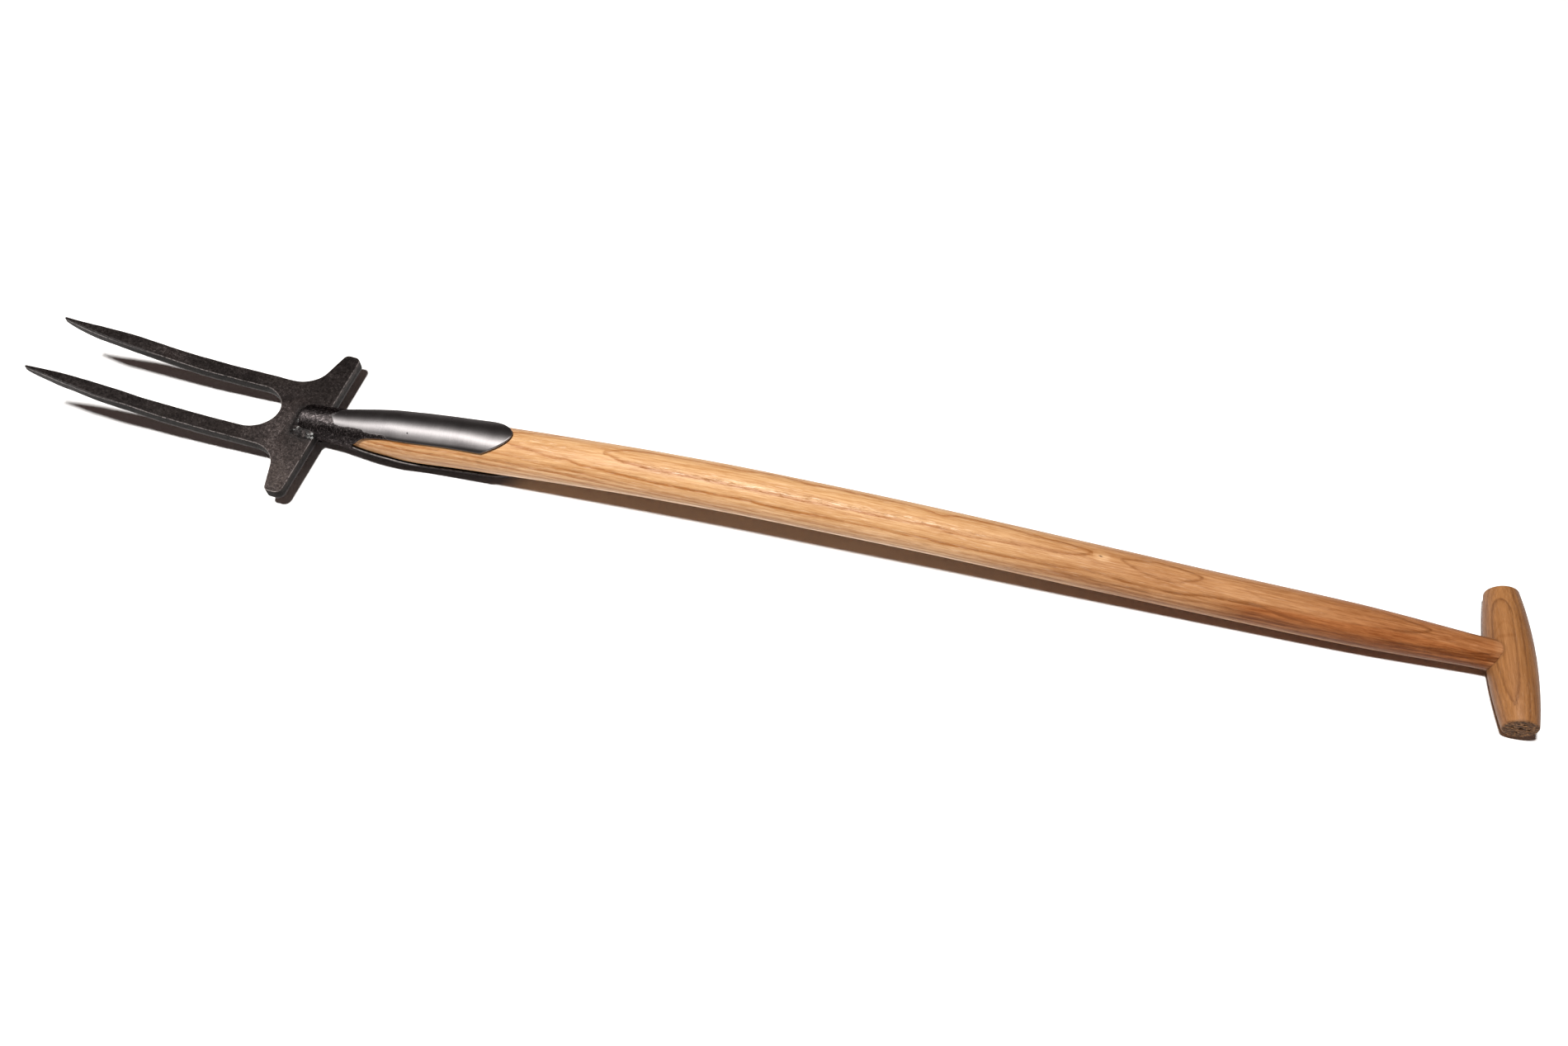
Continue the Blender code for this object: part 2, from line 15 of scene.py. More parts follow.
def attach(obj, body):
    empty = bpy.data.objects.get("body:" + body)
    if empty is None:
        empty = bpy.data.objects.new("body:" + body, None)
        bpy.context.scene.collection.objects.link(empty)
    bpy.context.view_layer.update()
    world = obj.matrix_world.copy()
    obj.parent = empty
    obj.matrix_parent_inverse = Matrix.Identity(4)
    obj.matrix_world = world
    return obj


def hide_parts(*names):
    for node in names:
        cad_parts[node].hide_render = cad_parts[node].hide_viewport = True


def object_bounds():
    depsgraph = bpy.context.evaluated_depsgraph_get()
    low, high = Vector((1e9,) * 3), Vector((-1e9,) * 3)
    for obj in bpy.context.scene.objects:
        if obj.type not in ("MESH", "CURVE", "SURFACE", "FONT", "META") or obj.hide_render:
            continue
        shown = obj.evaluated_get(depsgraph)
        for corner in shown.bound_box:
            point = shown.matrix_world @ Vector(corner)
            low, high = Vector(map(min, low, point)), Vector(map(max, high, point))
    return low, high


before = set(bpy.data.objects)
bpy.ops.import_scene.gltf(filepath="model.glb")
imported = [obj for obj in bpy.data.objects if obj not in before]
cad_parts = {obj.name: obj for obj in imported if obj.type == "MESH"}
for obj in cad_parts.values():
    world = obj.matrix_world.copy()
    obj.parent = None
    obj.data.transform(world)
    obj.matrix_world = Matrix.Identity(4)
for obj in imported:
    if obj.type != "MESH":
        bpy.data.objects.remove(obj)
CAD_BOX = [list(corner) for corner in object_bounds()]
MM = 0.001

# ---------------------------------------------------------------- the object's dimensions (mm)
TIP_X, CROTCH_X, REAR_X, GRIP_X = -577.5, -386.2, -349.1, 561.7
PLATE_T, PLATE_FLAT_X = 8.0, -402.0
TREAD_HALF = 73.0
TREAD_ROOT = (-372.5, 34.2)
TREAD_FRONT = (-362.1, 73.0)
TREAD_FILLET, TREAD_FRONT_R, TREAD_REAR_R = 22.0, 4.5, 5.2
TINE_OUTER = [(0, 28.6), (14, 29.3), (35, 31.1), (62, 33.0), (88, 33.3), (124, 33.8), (175.5, 34.2)]
TINE_INNER = [(0, 26.5), (14, 24.7), (34, 22.9), (68, 21.7), (102, 21.0), (136, 20.6), (169.5, 20.8)]
PLATE_TOP = [(-577.5, 56.0), (-543.2, 48.6), (-509.0, 40.4), (-463.2, 30.9), (-417.4, 25.4), (-402.0, 24.1)]
PLATE_REAR_Z = 18.5
SOCKET_X = -331.2
AXIS_Z = [(-366, 18.4), (-331, 18.4), (-314, 18.8), (-299, 19.7), (-285, 21.0), (-270, 21.9), (-256, 23.3),
          (-227, 26.2), (-199, 28.2), (-144, 32.0), (-64, 35.8), (-5, 36.8), (52, 36.1), (127, 34.5),
          (201, 31.4), (275, 27.7), (347, 24.2), (417, 21.6), (487, 19.0), (561.7, 15.8), (600, 14.3)]
SHAFT_R = [(-331, 11.9), (-314, 14.6), (-299, 16.7), (-285, 18.0), (-270, 18.8), (-256, 19.1), (-200, 18.9),
           (-144, 18.6), (0, 18.1), (89, 17.8), (164, 17.4), (238, 17.1), (311, 16.6), (382, 16.2),
           (417, 16.0), (452, 15.5), (487, 14.2), (521, 12.5), (540, 11.7), (600, 11.4)]
STRAP_T, FRONT_FIT, REAR_FIT, NECK_R = 2.3, 0.35, 0.7, 14.0
STRAP_END_X, STRAP_OGIVE, NOSE_X = -181.6, 23.0, -365.6
FRONT_ANGLE = [(-366, 88), (-319, 88), (-314, 82), (-308, 64), (-303, 56.5), (-295, 52), (-280, 49),
               (-245, 48.5), (-203, 50), (-178, 50)]
REAR_ANGLE = [(-366, 88), (-319, 88), (-314, 82), (-298, 77), (-288, 73), (-278, 67), (-268, 58),
              (-256, 53), (-238, 52), (-178, 52)]
GRIP_WEIGHTS = [0.4, 0.85, 0.35, 1.0, 0.5, 0.8, 0.6, 0.9, 0.55, 0.85, 0.6, 0.8, 0.7, 0.8, 0.6, 0.8, 0.7, 0.8, 0.7]
GRIP_HALF, GRIP_R, GRIP_DROP, GRIP_DROP_Y = 56.0, 15.8, 2.6, 43.0
TENON_R = 7.5
SCREW_X = (-240.0, -210.0)


# ---------------------------------------------------------------- curves and noise
def smooth(stations):
    """Monotone cubic through the stations, flat beyond them, for numbers or arrays."""
    xs = np.array([s[0] for s in stations], float)
    ys = np.array([s[1] for s in stations], float)
    h = np.diff(xs)
    d = np.diff(ys) / h
    m = np.zeros(len(xs))
    m[0], m[-1] = d[0], d[-1]
    for i in range(1, len(xs) - 1):
        if d[i - 1] * d[i] > 0:
            w1, w2 = 2 * h[i] + h[i - 1], h[i] + 2 * h[i - 1]
            m[i] = (w1 + w2) / (w1 / d[i - 1] + w2 / d[i])

    def f(x):
        x = np.clip(np.asarray(x, float), xs[0], xs[-1])
        i = np.clip(np.searchsorted(xs, x, side="right") - 1, 0, len(h) - 1)
        t = (x - xs[i]) / h[i]
        return ((2 * t ** 3 - 3 * t ** 2 + 1) * ys[i] + (t ** 3 - 2 * t ** 2 + t) * h[i] * m[i]
                + (-2 * t ** 3 + 3 * t ** 2) * ys[i + 1] + (t ** 3 - t ** 2) * h[i] * m[i + 1])
    return f


axis_z, shaft_r = smooth(AXIS_Z), smooth(SHAFT_R)
tine_outer, tine_inner = smooth(TINE_OUTER), smooth(TINE_INNER)
front_angle, rear_angle = smooth(FRONT_ANGLE), smooth(REAR_ANGLE)
plate_top_swept = smooth(PLATE_TOP)


def plate_top(x):
    x = np.asarray(x, float)
    slope = (PLATE_TOP[-1][1] - PLATE_REAR_Z) / (REAR_X - PLATE_FLAT_X)
    return np.where(x >= PLATE_FLAT_X, PLATE_REAR_Z + slope * (REAR_X - x), plate_top_swept(x))


def plate_t(x):
    return PLATE_T - 5.0 * np.exp(-(np.maximum(np.asarray(x, float), TIP_X) - TIP_X) / 6.0)


def resample(points, n):
    p = np.array(points, float)
    d = np.r_[0, np.cumsum(np.linalg.norm(np.diff(p, axis=0), axis=1))]
    s = np.linspace(0, d[-1], n)
    out = np.c_[[np.interp(s, d, p[:, k]) for k in range(p.shape[1])]].T
    for _ in range(6):
        out[1:-1] = 0.5 * out[1:-1] + 0.25 * (out[:-2] + out[2:])
    return out


def step(x, a, b):
    t = np.clip((np.asarray(x, float) - a) / (b - a), 0.0, 1.0)
    return t * t * (3 - 2 * t)


def _hash(ix, iy, iz, seed):
    n = (ix * 374761393 + iy * 668265263 + iz * 2246822519 + seed * 3266489917) & 0xFFFFFFFF
    n = ((n ^ (n >> 15)) * 2246822519) & 0xFFFFFFFF
    n = ((n ^ (n >> 13)) * 3266489917) & 0xFFFFFFFF
    return ((n ^ (n >> 16)) & 0xFFFFFF) / float(0x7FFFFF) - 1.0


def noise(p, seed=0):
    """Smooth value noise in -1..1 at points p (n, 3)."""
    p = np.asarray(p, float)
    i = np.floor(p).astype(np.int64)
    f = p - i
    u = f * f * (3 - 2 * f)
    out = 0.0
    for dx in (0, 1):
        for dy in (0, 1):
            for dz in (0, 1):
                w = ((u[:, 0] if dx else 1 - u[:, 0]) * (u[:, 1] if dy else 1 - u[:, 1])
                     * (u[:, 2] if dz else 1 - u[:, 2]))
                out = out + w * _hash(i[:, 0] + dx, i[:, 1] + dy, i[:, 2] + dz, seed)
    return out


def fractal(p, seed=0, octaves=3):
    total, amp, norm = 0.0, 1.0, 0.0
    p = np.asarray(p, float)
    for k in range(octaves):
        total = total + amp * noise(p * 2.03 ** k + 7.3 * k, seed + 11 * k)
        norm += amp
        amp *= 0.5
    return total / norm


# ---------------------------------------------------------------- meshes
def make_object(name, verts, faces, material, attrs=None, sharp=None):
    """verts in mm; attrs are one number or one vector for each vertex."""
    mesh = bpy.data.meshes.new(name)
    # the uneven skins stay inside the solids' own box
    low, high = np.array(CAD_BOX[0]) / MM + 0.004, np.array(CAD_BOX[1]) / MM - 0.004
    verts = np.clip(np.asarray(verts, float), low, high)
    mesh.from_pydata((verts * MM).tolist(), [], [list(map(int, f)) for f in faces])
    for key, values in (attrs or {}).items():
        values = np.asarray(values, np.float32)
        kind = "FLOAT" if values.ndim == 1 else "FLOAT_VECTOR"
        layer = mesh.attributes.new(key, kind, "POINT")
        layer.data.foreach_set("value" if values.ndim == 1 else "vector", values.ravel())
    mesh.validate()
    mesh.update()
    mesh.shade_smooth()
    if sharp is not None:
        mesh.set_sharp_from_angle(angle=math.radians(sharp))
    mesh.materials.append(material)
    ob = bpy.data.objects.new(name, mesh)
    bpy.context.scene.collection.objects.link(ob)
    return ob


def grid_faces(nu, nv, wrap_v=False, offset=0, flip=False):
    """Faces of a grid of nu by nv points stored row by row (u outer)."""
    out = []
    last = nv if wrap_v else nv - 1
    for i in range(nu - 1):
        for j in range(last):
            k = (j + 1) % nv
            f = (offset + i * nv + j, offset + (i + 1) * nv + j, offset + (i + 1) * nv + k, offset + i * nv + k)
            out.append(f[::-1] if flip else f)
    return out


def recalc(ob):
    bm = bmesh.new()
    bm.from_mesh(ob.data)
    bmesh.ops.recalc_face_normals(bm, faces=bm.faces)
    bm.to_mesh(ob.data)
    bm.free()
    return ob


def boolean(ob, cutter, operation="DIFFERENCE"):
    mod = ob.modifiers.new("cut", "BOOLEAN")
    mod.object, mod.operation, mod.solver = cutter, operation, "EXACT"
    depsgraph = bpy.context.evaluated_depsgraph_get()
    mesh = bpy.data.meshes.new_from_object(ob.evaluated_get(depsgraph), preserve_all_data_layers=True,
                                           depsgraph=depsgraph)
    ob.modifiers.remove(mod)
    old = ob.data
    ob.data = mesh
    bpy.data.meshes.remove(old)
    bpy.data.objects.remove(cutter, do_unlink=True)
    return ob


def fit_piece(ob, slot, *nodes):
    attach(ob, "root")
    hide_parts(*nodes)
    return ob


# ---------------------------------------------------------------- shader writing
class Shader:
    """A small pen for node materials. Values may be sockets or plain numbers."""

    def __init__(self, name):
        self.mat = bpy.data.materials.new(name)
        self.mat.use_nodes = True
        self.tree = self.mat.node_tree
        self.bsdf = self.tree.nodes["Principled BSDF"]
        self.here = self.tree.nodes.new("ShaderNodeTexCoord").outputs["Object"]

    def put(self, value, socket):
        if isinstance(value, bpy.types.NodeSocket):
            self.tree.links.new(value, socket)
        elif isinstance(value, (tuple, list)) and len(value) == 3 and socket.type == "RGBA":
            socket.default_value = (*value, 1.0)
        else:
            socket.default_value = value

    def math(self, op, a, b=0.0, c=0.0, clamp=False):
        n = self.tree.nodes.new("ShaderNodeMath")
        n.operation, n.use_clamp = op, clamp
        for v, s in zip((a, b, c), n.inputs):
            self.put(v, s)
        return n.outputs[0]

    def add(self, *terms):
        total = terms[0]
        for t in terms[1:]:
            total = self.math("ADD", total, t)
        return total

    def mul(self, *terms):
        total = terms[0]
        for t in terms[1:]:
            total = self.math("MULTIPLY", total, t)
        return total

    def inv(self, a):
        return self.math("SUBTRACT", 1.0, a)

    def scaled(self, vector, by):
        n = self.tree.nodes.new("ShaderNodeVectorMath")
        n.operation = "MULTIPLY"
        self.put(vector, n.inputs[0])
        self.put(by, n.inputs[1])
        return n.outputs[0]

    def turned(self, vector, angles):
        n = self.tree.nodes.new("ShaderNodeMapping")
        self.put(vector, n.inputs["Vector"])
        n.inputs["Rotation"].default_value = angles
        return n.outputs[0]

    def noise(self, vector, scale, detail=2.0, rough=0.5, distortion=0.0):
        n = self.tree.nodes.new("ShaderNodeTexNoise")
        self.put(vector, n.inputs["Vector"])
        for key, v in (("Scale", scale), ("Detail", detail), ("Roughness", rough), ("Distortion", distortion)):
            self.put(v, n.inputs[key])
        return n.outputs[0]

    def cells(self, vector, scale, feature="F1", randomness=1.0):
        n = self.tree.nodes.new("ShaderNodeTexVoronoi")
        n.feature = feature
        self.put(vector, n.inputs["Vector"])
        n.inputs["Scale"].default_value = scale
        n.inputs["Randomness"].default_value = randomness
        return n.outputs["Distance"]

    def ramp(self, fac, stops, interpolation="LINEAR"):
        n = self.tree.nodes.new("ShaderNodeValToRGB")
        n.color_ramp.interpolation = interpolation
        elements = n.color_ramp.elements
        while len(elements) > 1:
            elements.remove(elements[0])
        for k, (at, color) in enumerate(stops):
            e = elements[0] if k == 0 else elements.new(at)
            e.position = at
            e.color = (*color, 1.0) if isinstance(color, (tuple, list)) else (color, color, color, 1.0)
        self.put(fac, n.inputs[0])
        return n.outputs[0]

    def fit(self, value, a, b, c=0.0, d=1.0, kind="SMOOTHSTEP"):
        n = self.tree.nodes.new("ShaderNodeMapRange")
        n.interpolation_type = kind
        for v, s in zip((value, a, b, c, d), n.inputs):
            self.put(v, s)
        return n.outputs[0]

    def mix(self, fac, a, b, mode="MIX"):
        n = self.tree.nodes.new("ShaderNodeMix")
        n.data_type, n.blend_type = "RGBA", mode
        self.put(fac, n.inputs[0])
        self.put(a, n.inputs[6])
        self.put(b, n.inputs[7])
        return n.outputs[2]

    def attr(self, name, out="Fac"):
        n = self.tree.nodes.new("ShaderNodeAttribute")
        n.attribute_name = name
        return n.outputs[out]

    def bump(self, height, distance, strength=1.0, normal=None):
        n = self.tree.nodes.new("ShaderNodeBump")
        self.put(height, n.inputs["Height"])
        n.inputs["Distance"].default_value = distance
        self.put(strength, n.inputs["Strength"])
        if normal is not None:
            self.put(normal, n.inputs["Normal"])
        return n.outputs[0]

    def set(self, **values):
        for key, v in values.items():
            self.put(v, self.bsdf.inputs[key.replace("_", " ")])
        return self.mat


# ---------------------------------------------------------------- steel
def forged_steel():
    """Forging scale, blackened: black and brown mottle, tiny worn grains, a few scratches, lighter rims."""
    s = Shader("forged_steel_looks")
    here = s.here
    blotch = s.noise(here, 70, 5, 0.6, 0.4)
    mottle = s.noise(here, 430, 4, 0.7)
    grain = s.noise(here, 1250, 4, 0.75)
    tone = s.add(s.mul(blotch, 0.18), s.mul(mottle, 0.32), s.mul(grain, 0.50))
    color = s.ramp(tone, [(0.40, (0.0044, 0.0034, 0.0032)), (0.47, (0.0175, 0.0138, 0.0128)),
                          (0.54, (0.040, 0.0315, 0.0298)), (0.62, (0.150, 0.124, 0.117))])
    # brown tint in patches, and the paler rubbed patches
    brown = s.fit(s.noise(here, 38, 4, 0.6), 0.50, 0.66)
    color = s.mix(s.mul(brown, 0.22), color, (0.022, 0.013, 0.011))
    rubbed = s.mul(s.attr("rub"), s.fit(s.noise(here, 620, 4, 0.8), 0.44, 0.58))
    color = s.mix(s.mul(rubbed, 0.50), color, (0.105, 0.084, 0.074))
    # scratches: long thin noise in three directions
    scratch = 0.0
    for k, (turn, cut) in enumerate(((0.55, 0.735), (-1.0, 0.75), (1.35, 0.755))):
        thin = s.noise(s.scaled(s.turned(here, (0, 0, turn)), (70, 2500, 70)), 1.0, 2, 0.5)
        thin = s.fit(thin, cut - 0.02, cut + 0.03)
        scratch = thin if k == 0 else s.math("MAXIMUM", scratch, thin)
    scratch = s.mul(scratch, s.fit(s.noise(here, 90, 2), 0.48, 0.60))
    color = s.mix(s.mul(scratch, 0.65), color, (0.22, 0.19, 0.18))
    specks = s.mul(s.fit(s.cells(here, 560), 0.05, 0.20, 1.0, 0.0), s.fit(s.noise(here, 210, 2), 0.50, 0.62))
    color = s.mix(s.mul(specks, 0.6), color, (0.24, 0.205, 0.195))
    # painted shade: darker over the tines, and near black in the crease along the weld's toe
    black = s.attr("black")
    color = s.mix(s.mul(black, 0.62), color, (0.0022, 0.0018, 0.0018))
    color = s.mix(s.mul(s.attr("weld_toe_shade"), 0.92), color, (0.0035, 0.0028, 0.0027))
    # bevel ground along the points; the sheared side faces painted near black as shade; the rims painted lighter as a
    # highlight
    facet = s.attr("facet")
    drawn = s.noise(s.scaled(here, (60, 900, 900)), 1.0, 4, 0.6)
    color = s.mix(s.mul(facet, 0.9), color, s.ramp(drawn, [(0.38, (0.006, 0.005, 0.005)), (0.65, (0.046, 0.039, 0.038))]))
    side = s.attr("side")
    side_streaks = s.noise(s.scaled(here, (260, 260, 1500)), 1.0, 4, 0.6)
    color = s.mix(s.mul(side, 0.92), color,
                  s.ramp(side_streaks, [(0.42, (0.0022, 0.0015, 0.0013)), (0.64, (0.0115, 0.0082, 0.0074))]))
    # painted light on the upper part of the treads' rear faces
    color = s.mix(s.mul(s.attr("rear_face_light"), 0.55), color, s.ramp(side_streaks, [(0.40, (0.035, 0.028, 0.028)), (0.64, (0.15, 0.125, 0.12))]))
    # painted highlight: a lighter line along the rims
    rim = s.mul(s.attr("rim"), s.fit(s.noise(here, 520, 4, 0.75), 0.38, 0.60))
    color = s.mix(s.mul(rim, 0.85), color, (0.26, 0.228, 0.22))
    rough = s.add(0.40, s.mul(s.math("SUBTRACT", mottle, 0.5), 0.45), s.mul(black, -0.06), s.mul(rim, -0.06),
                  s.mul(s.attr("weld_toe_shade"), 0.25), s.mul(side, 0.40))
    height = s.add(s.mul(blotch, 0.25), s.mul(mottle, 0.40), s.mul(grain, 0.40), s.mul(scratch, -0.15),
                   s.mul(specks, 0.2))
    normal = s.bump(height, 0.00034, 0.85)
    s.bsdf.inputs["Specular IOR Level"].default_value = 0.20
    return s.set(Base_Color=color, Metallic=0.0, Roughness=rough, Normal=normal)


def sheet_steel(name, light=0.26, satin=0.60, spread=0.74, crest_highlight=0.75):
    """Pressed sheet, blackened, its outside linished round the tube: satin, with a rough ground part at the neck."""
    s = Shader(name)
    here = s.here
    cloud = s.noise(here, 60, 4, 0.55)
    fine = s.noise(here, 1300, 3, 0.6)
    lines = s.noise(s.scaled(here, (3200, 160, 160)), 1.0, 3, 0.6)
    rough_zone = s.attr("rough")
    ground = s.attr("ground")
    hammer = s.noise(here, 520, 4, 0.65)
    strokes = s.noise(s.scaled(s.turned(here, (0, 0, -0.85)), (330, 1250, 600)), 1.0, 4, 0.65, 0.6)
    tone = s.add(s.mul(cloud, 0.45), s.mul(fine, 0.25), s.mul(lines, 0.30))
    color = s.ramp(tone, [(0.36, (0.80 * light, 0.755 * light, 0.765 * light)), (0.5, (light, 0.95 * light, 0.955 * light)),
                          (0.64, (1.18 * light, 1.13 * light, 1.13 * light))])
    dark = s.ramp(s.add(s.mul(hammer, 0.35), s.mul(fine, 0.25), s.mul(strokes, 0.40)),
                  [(0.43, (0.014, 0.0116, 0.0115)), (0.52, (0.044, 0.0375, 0.0375)), (0.61, (0.205, 0.180, 0.180))])
    # painted shade: near black over the top and along the lower border of the strap
    color = s.mix(s.mul(s.attr("black"), 0.80), color, (0.030, 0.027, 0.027))
    worn = s.math("MAXIMUM", rough_zone, ground)
    worn = s.mul(s.fit(s.add(worn, s.mul(s.math("SUBTRACT", hammer, 0.5), 1.1)), 0.36, 0.64), 0.95)
    color = s.mix(worn, color, dark)
    # small pits and chips, a few longer scratches
    pit = s.fit(s.cells(here, 62), 0.030, 0.055, 1.0, 0.0)
    pit2 = s.mul(s.fit(s.cells(here, 330), 0.10, 0.16, 1.0, 0.0), s.fit(s.noise(here, 90, 2), 0.54, 0.62))
    chip = s.fit(s.cells(s.scaled(here, (1.0, 1.3, 1.1)), 47), 0.012, 0.022, 1.0, 0.0)
    color = s.mix(s.mul(pit, 0.8), color, (0.012, 0.010, 0.010))
    color = s.mix(s.mul(pit2, 0.45), color, (0.012, 0.010, 0.010))
    color = s.mix(s.mul(chip, 0.8), color, (0.75, 0.74, 0.74))
    scratch = s.noise(s.scaled(s.turned(here, (0, 0, 1.0)), (60, 2400, 60)), 1.0, 2, 0.5)
    scratch = s.mul(s.fit(scratch, 0.735, 0.775), s.fit(s.noise(here, 75, 2), 0.52, 0.62))
    color = s.mix(s.mul(scratch, 0.5), color, (0.55, 0.53, 0.52))
    # the sheared rim is painted dark as shade, with a thin painted highlight along its crest
    rim = s.attr("rim")
    color = s.mix(s.mul(rim, 0.5), color, (0.055, 0.048, 0.048))
    color = s.mix(s.mul(s.fit(rim, 0.80, 0.97), s.fit(hammer, 0.36, 0.56), crest_highlight), color, (0.42, 0.385, 0.38))
    rough = s.add(satin, s.mul(s.math("SUBTRACT", cloud, 0.5), 0.12), s.mul(s.math("SUBTRACT", fine, 0.5), 0.10),
                  s.mul(worn, -0.06), s.mul(pit, 0.2))
    height = s.add(s.mul(cloud, 0.06), s.mul(fine, 0.035), s.mul(lines, 0.05), s.mul(scratch, -0.03),
                   s.mul(s.add(s.mul(hammer, 0.40), s.mul(strokes, 0.45)), worn), s.mul(pit, -0.30), s.mul(pit2, -0.10))
    normal = s.bump(height, 0.00075, 0.85)
    s.bsdf.inputs["Anisotropic"].default_value = spread
    s.bsdf.inputs["Specular Tint"].default_value = (0.30, 0.29, 0.29, 1.0)
    s.put(s.attr("flow", "Vector"), s.bsdf.inputs["Tangent"])
    return s.set(Base_Color=color, Metallic=1.0, Roughness=rough, Normal=normal)


def weld_metal():
    """Weld bead, blackened like the forging beside it, with painted glints in spots on its crests and at the near end.
    """
    s = Shader("weld_metal_looks")
    here = s.here
    lump = s.noise(here, 300, 4, 0.6)
    grit = s.noise(here, 1300, 4, 0.75)
    flake = s.add(s.mul(lump, 0.55), s.mul(grit, 0.45))
    painted_glint = s.mul(s.attr("painted_glint"), s.fit(flake, 0.505, 0.555))
    color = s.ramp(flake, [(0.42, (0.0026, 0.0021, 0.0020)), (0.53, (0.0085, 0.0068, 0.0065)), (0.62, (0.070, 0.058, 0.056))])
    color = s.mix(painted_glint, color, (0.90, 0.93, 0.91))
    rough = s.add(s.mul(painted_glint, -0.12), 0.48, s.mul(s.math("SUBTRACT", grit, 0.5), 0.4))
    height = s.add(s.mul(lump, 0.5), s.mul(grit, 0.4), s.mul(painted_glint, 0.2))
    s.bsdf.inputs["Specular IOR Level"].default_value = 0.20
    return s.set(Base_Color=color, Metallic=painted_glint, Roughness=rough, Normal=s.bump(height, 0.0005, 0.9))


def screw_steel():
    s = Shader("screw_steel_looks")
    turned = s.noise(s.scaled(s.here, (900, 900, 5000)), 1.0, 3, 0.6)
    dull = s.noise(s.here, 700, 4, 0.6)
    color = s.ramp(s.add(s.mul(turned, 0.5), s.mul(dull, 0.5)),
                   [(0.35, (0.12, 0.115, 0.105)), (0.6, (0.34, 0.33, 0.31)), (0.8, (0.5, 0.49, 0.47))])
    return s.set(Base_Color=color, Metallic=0.95, Roughness=s.fit(dull, 0.3, 0.7, 0.28, 0.5, "LINEAR"),
                 Normal=s.bump(s.add(turned, dull), 0.0001, 0.6))


